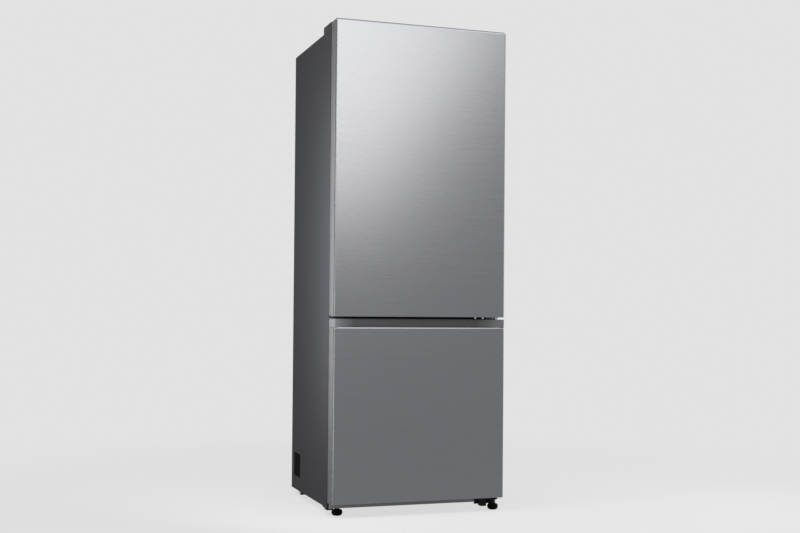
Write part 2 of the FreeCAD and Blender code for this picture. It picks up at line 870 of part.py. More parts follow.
def middle_hinge():
    """A wedge-shaped plate in the gap between the doors, with a pin up and a pin down."""
    body = new_body("middle_hinge")
    left, right = pin_x - s.middle_plate_left, pin_x + s.top_plate_right
    nose = s.middle_plate_nose
    arm_left = pin_x - s.middle_arm_left
    pad(body, "top", (middle_low, middle_high), [
        (arm_left, cabinet_front), (arm_left, cabinet_front - nose),
        (pin_x - s.hinge_eye_radius, pin_y), (pin_x + s.hinge_eye_radius, pin_y),
        (right, cabinet_front - nose), (right, cabinet_front)])
    pad(body, "top", (middle_low, middle_high), circle(pin_x, pin_y, s.hinge_eye_radius))
    flange_z = span_about((middle_low + middle_high) / 2, s.middle_flange_height)
    flange_y = (cabinet_front - s.middle_flange_thick, cabinet_front)
    pad(body, "front", flange_y, rect((left, right), flange_z))
    reach = (s.door_step - s.middle_plate_height) / 2 + s.pin_reach
    pad(body, "top", (middle_low - reach, middle_high + reach), circle(pin_x, pin_y, s.pin_radius))
    cut(body, "front", (cabinet_front - s.door_gap, cabinet_front + s.overrun), *[
        polygon(x, z, screw_hole, SCREW_SIDE_COUNT) for x, z in middle_screws()])


def middle_screws():
    """Two screws through the middle hinge's flange, left of the pin."""
    left = pin_x - s.middle_plate_left
    z = (middle_low + middle_high) / 2
    return [(left + 2 * s.screw_head_radius, z), (left + 9 * s.screw_head_radius, z)]


def lower_hinge():
    """The black bracket under the freezer door: plate, flange, web and the right foot's boss."""
    body = new_body("lower_hinge")
    left, right = pin_x - s.lower_plate_left, pin_x + s.top_plate_right
    high = s.lower_plate_top
    low = high - s.lower_plate_thick
    nose = s.middle_plate_nose
    pad(body, "top", (low, high), [
        (left, cabinet_front), (left, cabinet_front - nose),
        (pin_x - nose, pin_y - s.boss_radius), (pin_x, pin_y - s.boss_radius),
        (pin_x + s.boss_radius, pin_y), (right, cabinet_front - nose), (right, cabinet_front)])
    pad(body, "top", (low, high), circle(pin_x, pin_y, s.boss_radius))
    pad(body, "front", (cabinet_front - s.bracket_sheet, cabinet_front),
        rect((left, right), (s.lower_flange_low, high + s.bracket_sheet)))
    web_right = right_foot[0] - s.foot_radius - s.foot_boss_gap
    web_left = web_right - s.lower_web_width
    pad(body, "front", (cabinet_front - s.bracket_sheet - s.lower_web_depth, cabinet_front - s.bracket_sheet), [
        (left, high - s.lower_plate_thick / 2), (left, low - s.bracket_sheet),
        (web_left - s.foot_boss_gap, low - s.bracket_sheet),
        (web_left + s.foot_boss_gap, s.lower_web_low + s.bracket_sheet),
        (web_left + s.foot_boss_radius, s.lower_web_low),
        (web_right, s.lower_web_low), (web_right, high - s.lower_plate_thick / 2)])
    pad(body, "top", (s.foot_height + s.foot_boss_gap, low),
        polygon(right_foot[0], right_foot[1], s.foot_boss_radius, BOSS_SIDE_COUNT))
    pad(body, "top", (high, s.freezer_door_low + s.pin_reach), circle(pin_x, pin_y, s.pin_radius))
    cut(body, "top", (s.foot_height, low),
        circle(right_foot[0], right_foot[1], s.foot_stud_radius + s.thread_gap))


def screw(name, x, y, z, turn):
    """A six-sided screw with its seat at a point, pointing down or into the cabinet's front."""
    parts = []
    for kind, radius, low, length in (("head", s.screw_head_radius, 0, s.screw_head_height),
                                      ("shank", s.screw_shank_radius, -s.hinge_plate, s.hinge_plate)):
        prism = doc.addObject("Part::Prism", "%s_%s" % (name, kind))
        prism.Polygon = SCREW_SIDE_COUNT
        prism.setExpression("Circumradius", text(radius))
        prism.setExpression("Height", text(length))
        prism.setExpression("Placement.Base.z", text(low))
        parts.append(prism)
    both = doc.addObject("Part::Fuse", name)
    both.Base, both.Tool = parts
    both.Placement.Rotation = turn
    for axis, value in (("x", x), ("y", y), ("z", z)):
        both.setExpression("Placement.Base.%s" % axis, text(value))
    return both


def hinge_screws():
    upright = Rotation()
    facing = Rotation(Vector(1, 0, 0), 90)
    seat = cabinet_top + s.hinge_plate
    screws = [screw("top_screw%d" % i, x, y, seat, upright) for i, (x, y) in enumerate(top_screws())]
    screws += [screw("middle_screw%d" % i, x, cabinet_front - s.middle_flange_thick, z, facing)
               for i, (x, z) in enumerate(middle_screws())]
    new_group("hinge_screws", screws)


# The compressor bay

roller_x = half - s.roller_inset
roller_y = cabinet_back - s.roller_rear
ear_gap = s.roller_width / 2 + s.seat_gap


def compressor_plate():
    """The cross plate at the rear, with a pair of ears for each roller and windows over them."""
    body = new_body("compressor_plate")
    low, high = s.shell_bottom, s.shell_bottom + s.bracket_sheet
    pad(body, "top", (low, high), rect((-inner, inner), (bay_rear - s.cross_plate_depth, bay_rear - s.rear_cover_thick)))
    for side in (-1, 1):
        for edge in (-1, 1):
            middle = side * roller_x + edge * (ear_gap + s.ear_thick / 2)
            pad(body, "side", span_about(middle, s.ear_thick),
                rect(span_about(roller_y, 2 * s.ear_half_width), (s.ear_low, low + s.bracket_sheet / 2)))
    cut(body, "side", (-half, half), rect(
        span_about(roller_y, 2 * s.axle_radius), (s.ear_low - s.overrun, s.roller_radius + s.axle_radius)))
    window_y = span_about(roller_y, 2 * s.ear_half_width + 2 * s.ear_thick)
    for side in (-1, 1):
        cut(body, "top", (low - s.overrun, high + s.overrun),
            rect(span_about(side * roller_x, 2 * ear_gap), window_y))


def roller_axles():
    """A pin across each pair of ears."""
    body = new_body("roller_axles")
    reach = ear_gap + s.ear_thick + s.bracket_sheet
    for side in (-1, 1):
        pad(body, "side", span_about(side * roller_x, 2 * reach),
            circle(roller_y, s.roller_radius, s.axle_radius))


def rear_roller(name, side):
    """A plain plastic roller with a bore."""
    body = new_body(name)
    pad(body, "side", span_about(side * roller_x, s.roller_width),
        polygon(roller_y, s.roller_radius, s.roller_radius, RING_SIDE_COUNT),
        circle(roller_y, s.roller_radius, s.axle_radius + s.pin_gap))


compressor_x = inner - s.compressor_side_gap
compressor_y = cabinet_back - s.compressor_rear
plate_top = s.shell_bottom + s.bracket_sheet
grommet_top = plate_top + s.grommet_height
tray_low = bay_top - s.tray_roof_gap - s.tray_height
fan_plate_x = compressor_x - s.fan_plate_gap
fan_plate_high = bay_top - s.fan_plate_roof_gap


def foot_places():
    """Where the compressor's four rubber feet stand."""
    reach = s.compressor_foot_half - s.grommet_radius
    return [(compressor_x + sx * reach, compressor_y + sy * reach * GROMMET_SHARE)
            for sx in (-1, 1) for sy in (-1, 1)]


GROMMET_SHARE = 0.62


def compressor_grommets():
    body = new_body("compressor_grommets")
    pad(body, "top", (plate_top, grommet_top),
        *[polygon(x, y, s.grommet_radius, 8) for x, y in foot_places()])


def compressor():
    """A welded can with a domed top, a foot plate and a box over its terminals."""
    body = new_body("compressor")
    can_low = grommet_top + s.compressor_foot_thick
    can_high = tray_low - s.seat_gap
    foot = can_low - s.compressor_foot_thick / 2
    can = pad(body, "top", (foot, can_high),
              polygon(compressor_x, compressor_y, s.compressor_radius, RING_SIDE_COUNT))
    domed = round_edges(body, can, s.compressor_dome,
                        lambda middle, box: on_plane(box.ZMin, can_high), "PartDesign::Chamfer")
    round_edges(body, domed, s.compressor_heel,
                lambda middle, box: on_plane(box.ZMax, foot), "PartDesign::Chamfer")
    pad(body, "top", (grommet_top, can_low), rect(
        span_about(compressor_x, 2 * s.compressor_foot_half),
        span_about(compressor_y, 2 * s.compressor_foot_half * GROMMET_SHARE + s.compressor_foot_width / 2)))
    box_z = span_about((can_low + can_high) / 2, s.terminal_height)
    side_x = compressor_x - s.compressor_radius
    pad(body, "side", (side_x - s.terminal_depth, side_x + s.terminal_depth),
        rect(span_about(compressor_y, s.terminal_width), box_z))


def condenser_coil():
    """One flat tube in straight runs and half-turn bends, between two upright straps."""
    left = -number(inner) + number(s.coil_left)
    right = number(fan_plate_x) - number(s.coil_right)
    y = number(cabinet_back) - number(s.coil_rear)
    low = number(s.coil_low)
    pitch = number(s.coil_pitch)
    corners = []
    for run in range(SIZES["coil_runs"]):
        z = low + run * pitch
        start, end = (left, right) if run % 2 == 0 else (right, left)
        out = (end - start) / abs(end - start) * pitch / 2
        corners.append(Vector(start, y, z))
        corners.append(Vector(end, y, z))
        if run + 1 < SIZES["coil_runs"]:
            corners.append(Vector(end + out, y, z + pitch * BEND_SHARE))
            corners.append(Vector(end + out, y, z + pitch - pitch * BEND_SHARE))
    path = Part.makePolygon(corners)
    deep, thick = number(s.coil_tube_depth) / 2, number(s.coil_tube_thick) / 2
    section = [Vector(left, y + side_y * deep, low + side_z * thick)
               for side_y, side_z in ((-1, -1), (1, -1), (1, 1), (-1, 1), (-1, -1))]
    tube = path.makePipeShell([Part.makePolygon(section)], True, False, 1)
    strap_low = number(plate_top)
    strap_high = low + pitch * (SIZES["coil_runs"] - 1) + thick
    wide, sheet = number(s.coil_foot), number(s.steel)
    straps = [Part.makeBox(wide, sheet, strap_high - strap_low, Vector(x, y + deep, strap_low))
              for x in (left + wide, right - 2 * wide)]
    new_shape("condenser_coil", tube.multiFuse(straps).removeSplitter())


BEND_SHARE = 0.3


def fan_wheel(name, radius, place):
    """Pitched blades round a hub; built about Z and then placed."""
    body = new_body(name)
    half_length = s.fan_hub_length / 2
    hub = pad(body, "top", (-half_length, half_length), polygon(0, 0, s.fan_hub_radius, HUB_SIDE_COUNT))
    root = s.fan_hub_radius - s.blade_thick
    tip = radius - s.blade_thick
    chord, rise, thick = s.blade_chord, s.blade_rise, s.blade_thick / 2
    blade = pad(body, "side", (root, tip), [
        (-chord, -rise - thick), (chord, rise - thick), (chord, rise + thick), (-chord, -rise + thick)])
    ring = body.newObject("PartDesign::PolarPattern", "ring")
    ring.Originals = [blade]
    ring.Axis = (origin_of(body, "Z_Axis"), [""])
    ring.Angle = 360
    ring.Occurrences = SIZES["blades"]
    body.Tip = ring
    cut(body, "top", (-half_length - s.overrun, half_length + s.overrun),
        circle(0, 0, s.fan_shaft_radius + s.pin_gap))
    body.Placement.Rotation = place[3]
    for axis, value in zip("xyz", place):
        body.setExpression("Placement.Base.%s" % axis, text(value))
    return hub


condenser_fan_place = (fan_plate_x, cabinet_back - s.fan_rear, (plate_top + fan_plate_high) / 2, Rotation(Vector(0, 1, 0), 90))


def condenser_fan_mount():
    """A plate across the bay with a round opening, spokes, a motor and its shaft."""
    body = new_body("condenser_fan_mount")
    x, y, z, turn = condenser_fan_place
    plate_x = span_about(x, s.fan_plate)
    pad(body, "side", plate_x, rect(
        (cabinet_back - s.fan_plate_front, cabinet_back - s.fan_plate_rear), (plate_top, fan_plate_high)))
    cut(body, "side", (plate_x[0] - s.overrun, plate_x[1] + s.overrun),
        polygon(y, z, s.condenser_fan_radius + s.fan_tip_gap, RING_SIDE_COUNT))
    motor_low = x + s.fan_hub_length / 2 + s.fan_motor_gap
    motor_high = motor_low + s.fan_motor_length
    reach = s.condenser_fan_radius + s.fan_tip_gap
    spoke_x = (motor_low + s.fan_motor_gap, motor_low + s.fan_motor_gap + s.fan_spoke_width / 2)
    pad(body, "side", (motor_low, motor_high), polygon(y, z, s.fan_motor_radius, HUB_SIDE_COUNT))
    pad(body, "side", spoke_x, rect(span_about(y, 2 * (reach + s.fan_spoke_width)), span_about(z, s.fan_spoke_width)))
    for side in (-1, 1):
        post_y = span_about(y + side * (reach + s.fan_spoke_width / 2), s.fan_spoke_width)
        pad(body, "side", (plate_x[1], spoke_x[1]), rect(post_y, span_about(z, s.fan_spoke_width)))
    pad(body, "side", (x - s.fan_hub_length / 2, motor_low), circle(y, z, s.fan_shaft_radius))


def drip_tray():
    """An open tray on the compressor's dome that catches the defrost water."""
    body = new_body("drip_tray")
    low = tray_low
    x = (compressor_x - s.tray_half_width, compressor_x + s.tray_half_width)
    y = span_about(compressor_y, s.tray_depth)
    pad(body, "top", (low, low + s.tray_height), clipped(x, y, s.tub_corner))
    cut(body, "top", (low + s.wall, low + s.tray_height + s.overrun), clipped(
        (x[0] + s.wall, x[1] - s.wall), (y[0] + s.wall, y[1] - s.wall), s.tub_corner - s.wall / 2))


def rear_cover():
    """The cover of the compressor bay, with two columns of slots."""
    body = new_body("rear_cover")
    low, high = bay_rear - s.rear_cover_thick, bay_rear
    pad(body, "front", (low, high), rect((-inner, inner), (s.rear_cover_low, bay_top)))
    first = s.rear_cover_low + s.slot_pitch * 2
    right = rect((s.slot_gap, s.slot_gap + s.slot_half_width), (first, first + s.slot_height))
    slots = cut(body, "front", (low - s.overrun, high + s.overrun), right, mirrored(right))
    rows = body.newObject("PartDesign::LinearPattern", "rows")
    rows.Originals = [slots]
    rows.Direction = (origin_of(body, "Z_Axis"), [""])
    rows.Occurrences = SIZES["slot_rows"]
    rows.setExpression("Length", text(s.slot_pitch * (SIZES["slot_rows"] - 1)))
    body.Tip = rows


# Air system inside the compartments

evaporator_fan_place = (0 * half, panel_back + s.panel_thick + s.fan_hub_length / 2 + s.fan_motor_gap,
                        s.freezer_high - s.evaporator_fan_drop, Rotation(Vector(1, 0, 0), -90))


def freezer_back_panel():
    """The panel before the evaporator, with the fan's opening and a return slot."""
    body = new_body("freezer_back_panel")
    x = freezer_x - s.seat_gap
    y = (panel_back, panel_back + s.panel_thick)
    low, high = s.step_height + s.seat_gap, s.freezer_high - s.seat_gap
    pad(body, "front", y, rect((-x, x), (low, high)))
    through = (y[0] - s.overrun, y[1] + s.overrun)
    cut(body, "front", through, polygon(0, evaporator_fan_place[2], s.evaporator_fan_radius, RING_SIDE_COUNT))
    slot = (-s.panel_slot_half_width, s.panel_slot_half_width)
    first = low + s.ledge_height * 2
    cut(body, "front", through, *[
        rect(slot, (first + s.slot_pitch * row, first + s.slot_pitch * row + s.panel_slot_height))
        for row in range(3)])


def evaporator():
    """A tube bank with plate fins, behind the freezer's back panel."""
    body = new_body("evaporator")
    back = cavity_back - s.evaporator_rear_gap
    y = (back - s.evaporator_depth, back)
    low = s.step_height + s.evaporator_lift
    z = (low, low + s.evaporator_height)
    x = (-s.evaporator_width / 2, s.evaporator_width / 2)
    tubes = [polygon((y[0] + y[1]) / 2, z[0] + s.evaporator_height * share, s.fin_tube_radius, 6)
             for share in EVAPORATOR_TUBE_SHARES]
    pitch = (s.evaporator_width - s.fin_thick) / (SIZES["fin_count"] - 1)
    fin = pad(body, "side", (x[0], x[0] + s.fin_thick), rect(y, z))
    pad(body, "side", x, *tubes)
    fins = body.newObject("PartDesign::LinearPattern", "fins")
    fins.Originals = [fin]
    fins.Direction = (origin_of(body, "X_Axis"), [""])
    fins.Occurrences = SIZES["fin_count"]
    fins.setExpression("Length", text(pitch * (SIZES["fin_count"] - 1)))
    body.Tip = fins


EVAPORATOR_TUBE_SHARES = (0.15, 0.5, 0.85)


def evaporator_fan_motor():
    """The motor behind the fan, on a strap with two posts to the panel, and its shaft."""
    body = new_body("evaporator_fan_motor")
    x, y, z, turn = evaporator_fan_place
    motor_low = y + s.fan_hub_length / 2 + s.fan_motor_gap
    reach = s.evaporator_fan_radius + s.fan_tip_gap + s.fan_spoke_width
    strap_y = (motor_low + s.fan_motor_gap, motor_low + s.fan_motor_gap + s.fan_spoke_width / 2)
    pad(body, "front", (motor_low, motor_low + s.fan_motor_length),
        polygon(0, z, s.fan_motor_radius, HUB_SIDE_COUNT))
    pad(body, "front", strap_y, rect((-reach, reach), span_about(z, s.fan_spoke_width)))
    right = rect((reach - s.fan_spoke_width, reach), span_about(z, s.fan_spoke_width))
    pad(body, "front", (panel_back + s.panel_thick, strap_y[1]), right, mirrored(right))
    pad(body, "front", (y - s.fan_hub_length / 2, motor_low), circle(0, z, s.fan_shaft_radius))


def air_duct():
    """The raised duct up the middle of the fridge's back wall, with outlets beside its face."""
    body = new_body("air_duct")
    wide, narrow = s.duct_half_width, s.duct_half_width - s.duct_chamfer
    y = (cavity_back - s.duct_depth, cavity_back)
    pad(body, "top", (s.fridge_low + s.duct_foot_gap, fridge_high - s.duct_head_gap), [
        (-wide, y[1]), (-narrow, y[0]), (narrow, y[0]), (wide, y[1])])
    for level in shelf_levels:
        middle = level + shelf_room * OUTLET_SHARE
        right = rect((narrow / 3, narrow - s.duct_chamfer), span_about(middle, s.panel_slot_height))
        cut(body, "front", (y[0] - s.overrun, y[0] + s.duct_depth / 2), right, mirrored(right))


OUTLET_SHARE = 0.12


def ceiling_lamp():
    body = new_body("ceiling_lamp")
    y_low = shelf_front - s.lamp_setback
    low = fridge_high - s.lamp_thick
    lens = pad(body, "top", (low, fridge_high),
               clipped((-s.lamp_half_width, s.lamp_half_width), (y_low, y_low + s.lamp_depth), s.tub_corner))
    round_edges(body, lens, s.lamp_bevel, lambda middle, box: on_plane(box.ZMax, low), "PartDesign::Chamfer")


# Shelves

def fridge_shelf_glasses():
    body = new_body("fridge_shelf_glasses")
    x = fridge_x - s.shelf_side_gap
    for level in shelf_levels:
        pad(body, "top", (level, level + s.glass), rect(
            (-x, x), (shelf_front + s.trim_lip, shelf_back - s.trim_lip)))


def trim_profile(edge, way, level):
    """A rail with a groove for the glass; `way` points from the edge into the shelf."""
    low, high = level - s.trim_skin, level + s.glass + s.trim_skin
    deep = edge + way * s.trim_grip
    seat = edge + way * s.trim_lip
    return [(edge, low), (deep, low), (deep, level), (seat, level),
            (seat, level + s.glass), (deep, level + s.glass), (deep, high), (edge, high)]


def fridge_shelf_trims():
    """A front rail and a rear rail on each glass shelf, between the side ledges."""
    body = new_body("fridge_shelf_trims")
    x = fridge_x - s.ledge_width - s.seat_gap
    for level in shelf_levels:
        for edge, way in ((shelf_front, 1), (shelf_back, -1)):
            pad(body, "side", (-x, x), trim_profile(edge, way, level))


def crisper_cover():
    """The shelf over the crispers: a plate with a front apron."""
    body = new_body("crisper_cover")
    x = fridge_x - s.shelf_side_gap
    level = s.crisper_cover_level
    pad(body, "top", (level, level + s.glass), rect((-x, x), (shelf_front, shelf_back)))
    narrow = fridge_x - s.ledge_width - s.seat_gap
    pad(body, "front", (shelf_front, shelf_front + s.trim_lip),
        rect((-narrow, narrow), (level - s.crisper_cover_apron, level)))


def freezer_shelves():
    """Two glass plates on the freezer's ledges."""
    body = new_body("freezer_shelves")
    x = freezer_x - s.shelf_side_gap
    y = (cabinet_front + s.freezer_ledge_setback, panel_back - s.seat_gap)
    for level in freezer_shelf_levels:
        pad(body, "top", (level, level + s.glass), rect((-x, x), y))


# Doors

def upright_front_edge(middle, box):
    return on_plane(middle.y, front) and box.ZLength > box.XLength + box.YLength


def door_core(back):
    """The outline inside the skin, with its front corners cut to clear the skin's bends."""
    near = front + s.steel
    return [(-inner, back), (-inner, near + s.door_corner), (-inner + s.door_corner, near),
            (inner - s.door_corner, near), (inner, near + s.door_corner), (inner, back)]


def door_skin(name, low, high, notch):
    """The steel front, bent round into a return down each side."""
    body = new_body(name)
    block = pad(body, "top", (low, high), rect((-half, half), (front, front + s.skin_return)))
    round_edges(body, block, s.door_corner, upright_front_edge)
    cut(body, "top", (low - s.overrun, high + s.overrun), rounded(
        (-inner, inner), (front + s.steel, front + 2 * s.skin_return), s.door_corner - s.steel))
    if notch:
        cut(body, "side", (inner - s.overrun, half + s.overrun), rect(
            (pin_y - s.notch_front, front + s.skin_return + s.overrun),
            (notch_floor, high + s.overrun)))


notch_floor = cabinet_top - s.notch_floor


def door_side_trims(name, low, high, notch):
    """The painted folds behind the steel returns, round to the door's back."""
    body = new_body(name)
    start = front + s.skin_return
    left = [(-half, start), (-inner, start), (-inner, door_back - s.steel),
            (-half + s.trim_return, door_back - s.steel), (-half + s.trim_return, door_back),
            (-half, door_back)]
    pad(body, "top", (low, high), left)
    pad(body, "top", (low, notch_floor if notch else high), mirrored(left))


def fridge_door_top_cap():
    """The top cap, with the notch that the hinge arm swings in and the pin's bush."""
    body = new_body("fridge_door_top_cap")
    high = fridge_door_high
    low = high - s.cap_height
    near = front + s.steel
    lining = door_back - s.door_plate
    pad(body, "top", (low, high), door_core(door_back - s.steel))
    block_low = notch_floor - s.notch_wall
    left = pin_x - s.cap_block_left
    pad(body, "top", (block_low, low), [
        (left, near), (inner - s.door_corner, near), (inner, near + s.door_corner),
        (inner, lining), (left, lining)])
    cut(body, "top", (notch_floor, high + s.overrun), rect(
        (pin_x - s.notch_left, half + s.overrun), (pin_y - s.notch_front, door_back + s.overrun)))
    cut(body, "top", (block_low - s.overrun, notch_floor + s.overrun),
        circle(pin_x, pin_y, s.pin_radius + s.pin_gap))


def bush_block(body, low, high, plane_low, plane_high):
    """A boss that carries a hinge pin, with its bore."""
    pad(body, "top", (low, high), polygon(pin_x, pin_y, s.boss_radius, BOSS_SIDE_COUNT))
    cut(body, "top", (plane_low, plane_high), circle(pin_x, pin_y, s.pin_radius + s.pin_gap))


def door_bottom_cap(name, low):
    """The bottom cap with the boss of the hinge pin above it."""
    body = new_body(name)
    pad(body, "top", (low, low + s.cap_height), door_core(door_back - s.steel))
    bush_block(body, low + s.cap_height, low + s.pin_reach + s.pin_bore_extra, low - s.overrun,
               low + s.pin_reach + s.overrun)


def fridge_door_foam():
    body = new_body("fridge_door_foam")
    low = fridge_door_low + s.cap_height
    high = fridge_door_high - s.cap_height
    pad(body, "top", (low, high), door_core(door_back - s.door_plate))
    block_low = notch_floor - s.notch_wall
    cut(body, "top", (block_low, high + s.overrun), rect(
        (pin_x - s.cap_block_left, half), (front, door_back)))
    cut(body, "top", (low - s.overrun, fridge_door_low + s.pin_reach + s.pin_bore_extra),
        circle(pin_x, pin_y, s.boss_radius))


def door_liner(name, low, high, dyke_x, dyke_depth, dyke_z, lugs, notch):
    """The moulded inner face of a door: a plate with a raised ring, and lugs for bins."""
    body = new_body(name)
    plate = (door_back - s.door_plate, door_back - s.steel)
    pad(body, "front", plate, rect((-inner, inner), (low, high)))
    edge = half - s.trim_return
    pad(body, "front", (plate[0], door_back), rect((-edge, edge), (low, high)))
    ring = (door_back, door_back + dyke_depth)
    pad(body, "front", ring, rect((-dyke_x, dyke_x), dyke_z))
    hollow_x = dyke_x - s.dyke_wall
    cut(body, "front", (door_back, ring[1] + s.overrun), rounded(
        (-hollow_x, hollow_x), (dyke_z[0] + s.dyke_wall, dyke_z[1] - s.dyke_wall), s.liner_corner))
    for level in lugs:
        right = rect((hollow_x - s.bin_lug_width, hollow_x + s.overrun), (level - s.bin_lug_height, level))
        pad(body, "front", (door_back, door_back + s.bin_lug_depth), right, mirrored(right))
    if notch:
        cut(body, "front", (plate[0] - s.overrun, door_back + s.overrun), rect(
            (pin_x - s.notch_left, half), (notch_floor, high + s.overrun)))


def gasket(name, z):
    """The magnetic seal: a square ring between door and cabinet."""
    body = new_body(name)
    x = half - s.gasket_inset
    pad(body, "front", (door_back, cabinet_front - s.seat_gap),
        rect((-x, x), z),
        rect((-x + s.gasket_width, x - s.gasket_width), (z[0] + s.gasket_width, z[1] - s.gasket_width)))


fridge_dyke_x = half - s.fridge_dyke_inset
fridge_dyke_z = (s.fridge_low + s.fridge_dyke_gap, fridge_high - s.fridge_dyke_gap)
bin_x = fridge_dyke_x - s.dyke_wall - s.bin_side_gap

# How far up the door's ring the two small bins hang
BIN_LEVEL_SHARES = (0.4306, 0.7081)

bottle_level = fridge_dyke_z[0] + s.bottle_bin_lift
bin_levels = [fridge_dyke_z[0] + (fridge_dyke_z[1] - fridge_dyke_z[0]) * share for share in BIN_LEVEL_SHARES]


def add_bin(body, level, height):
    """A moulded rack with a lower front edge."""
    y = (door_back + s.seat_gap, door_back + s.bin_depth)
    pad(body, "top", (level, level + height), clipped((-bin_x, bin_x), y, s.bin_corner))
    cut(body, "top", (level + s.wall, level + height + s.overrun), rect(
        (-bin_x + s.wall, bin_x - s.wall), (y[0] + s.wall, y[1] - s.wall)))


def door_bins():
    body = new_body("door_bins")
    for level in bin_levels:
        add_bin(body, level + s.seat_gap, s.bin_height)


def bottle_bin():
    body = new_body("bottle_bin")
    add_bin(body, bottle_level + s.seat_gap, s.bottle_bin_height)


def freezer_door_foam():
    body = new_body("freezer_door_foam")
    low = s.freezer_door_low + s.cap_height
    pad(body, "top", (low, s.grip_low), door_core(door_back - s.door_plate))
    cut(body, "top", (low - s.overrun, s.freezer_door_low + s.pin_reach + s.pin_bore_extra),
        circle(pin_x, pin_y, s.boss_radius))


def grip_ramp(side):
    """The outline of the recess's end: its back wall curves out to the door's front."""
    outer = side * (half - s.grip_end)
    corners = [(outer, front - s.overrun)]
    for step in range(GRIP_RAMP_STEP_COUNT + 1):
        along = step / GRIP_RAMP_STEP_COUNT
        eased = along * along * (3 - 2 * along)
        corners.append((outer - side * along * s.grip_ramp,
                        front + eased * (s.grip_lip + s.grip_channel)))
    corners.append((outer - side * s.grip_ramp, front - s.overrun))
    return corners


GRIP_RAMP_STEP_COUNT = 6


def freezer_door_grip():
    """The moulding along the door's top, with the scooped finger channel behind the front lip."""
    body = new_body("freezer_door_grip")
    top = s.freezer_door_high
    pad(body, "top", (s.grip_low, s.panel_top), door_core(door_back - s.door_plate))
    block = pad(body, "top", (s.panel_top, top), rect((-half, half), (front, door_back)))
    round_edges(body, block, s.door_corner, upright_front_edge)
    near = front + s.grip_lip
    far = near + s.grip_channel
    bottom = s.panel_top - s.grip_channel_drop
    reach = half - s.grip_end - s.grip_ramp
    cut(body, "side", (-reach, reach), [
        (near, bottom), (far, bottom), (far, top + s.overrun),
        (front - s.overrun, top + s.overrun), (front - s.overrun, s.panel_top), (near, s.panel_top)])
    cut(body, "side", (-reach, reach), circle((near + far) / 2, bottom, s.grip_channel / 2))
    cut(body, "top", (s.panel_top, top + s.overrun), grip_ramp(-1), grip_ramp(1))
    cut(body, "top", (top - s.pin_reach - s.pin_bore_extra, top + s.overrun),
        circle(pin_x, pin_y, s.pin_radius + s.pin_gap))


# Drawers

def add_pull(body, x, front_y, top):
    """A lip that overhangs the drawer's front, open below for the fingers."""
    pad(body, "side", x, [
        (front_y, top - s.pull_height), (front_y + s.pull_wall, top - s.pull_height),
        (front_y + s.pull_wall, top - s.pull_wall), (front_y + s.pull_depth + s.pull_wall, top - s.pull_wall),
        (front_y + s.pull_depth + s.pull_wall, top), (front_y, top)])


def drawer(name, x, y, z, front_wall):
    """A moulded tub with round heels, a thicker front and a pull along its top."""
    body = new_body(name)
    body_front = y[0] + s.pull_depth
    tub = pad(body, "top", z, rect(x, (body_front, y[1])))
    round_edges(body, tub, s.liner_corner - s.crisper_left_gap, lambda middle, box: (
        on_plane(box.ZMax, z[0]) and box.XLength < box.YLength))
    cut(body, "top", (z[0] + s.wall, z[1] + s.overrun), clipped(
        (x[0] + s.wall, x[1] - s.wall), (body_front + front_wall, y[1] - s.wall), s.tub_corner))
    add_pull(body, x, y[0], z[1])


def crispers():
    y = (cabinet_front + s.crisper_front_setback, cavity_back - s.crisper_back_gap)
    z = (s.fridge_low + s.seat_gap, s.crisper_cover_level - s.crisper_head_gap)
    drawer("crisper_left", (-fridge_x + s.crisper_left_gap, -s.crisper_middle_gap), y, z, s.wall)
    drawer("crisper_right", (s.crisper_middle_gap, fridge_x - s.crisper_right_gap), y, z, s.wall)


def freezer_drawers():
    x = (-freezer_x + s.drawer_left_gap, freezer_x - s.drawer_right_gap)
    y_front = cabinet_front + s.drawer_front_setback
    low_back = step_y(s.freezer_low) - s.drawer_low_back_gap
    back = panel_back - s.drawer_back_gap
    step_level, high_level = freezer_shelf_levels
    rooms = {
        "low": (s.freezer_low, step_level - s.drawer_low_head_gap, low_back),
        "middle": (step_level + s.glass, high_level - s.drawer_head_gap, back),
        "high": (high_level + s.glass, s.freezer_high - s.drawer_head_gap, back)}
    for name, (seat, high, rear) in rooms.items():
        drawer("freezer_drawer_" + name, x, (y_front, rear), (seat + s.seat_gap, high), s.drawer_front_wall)


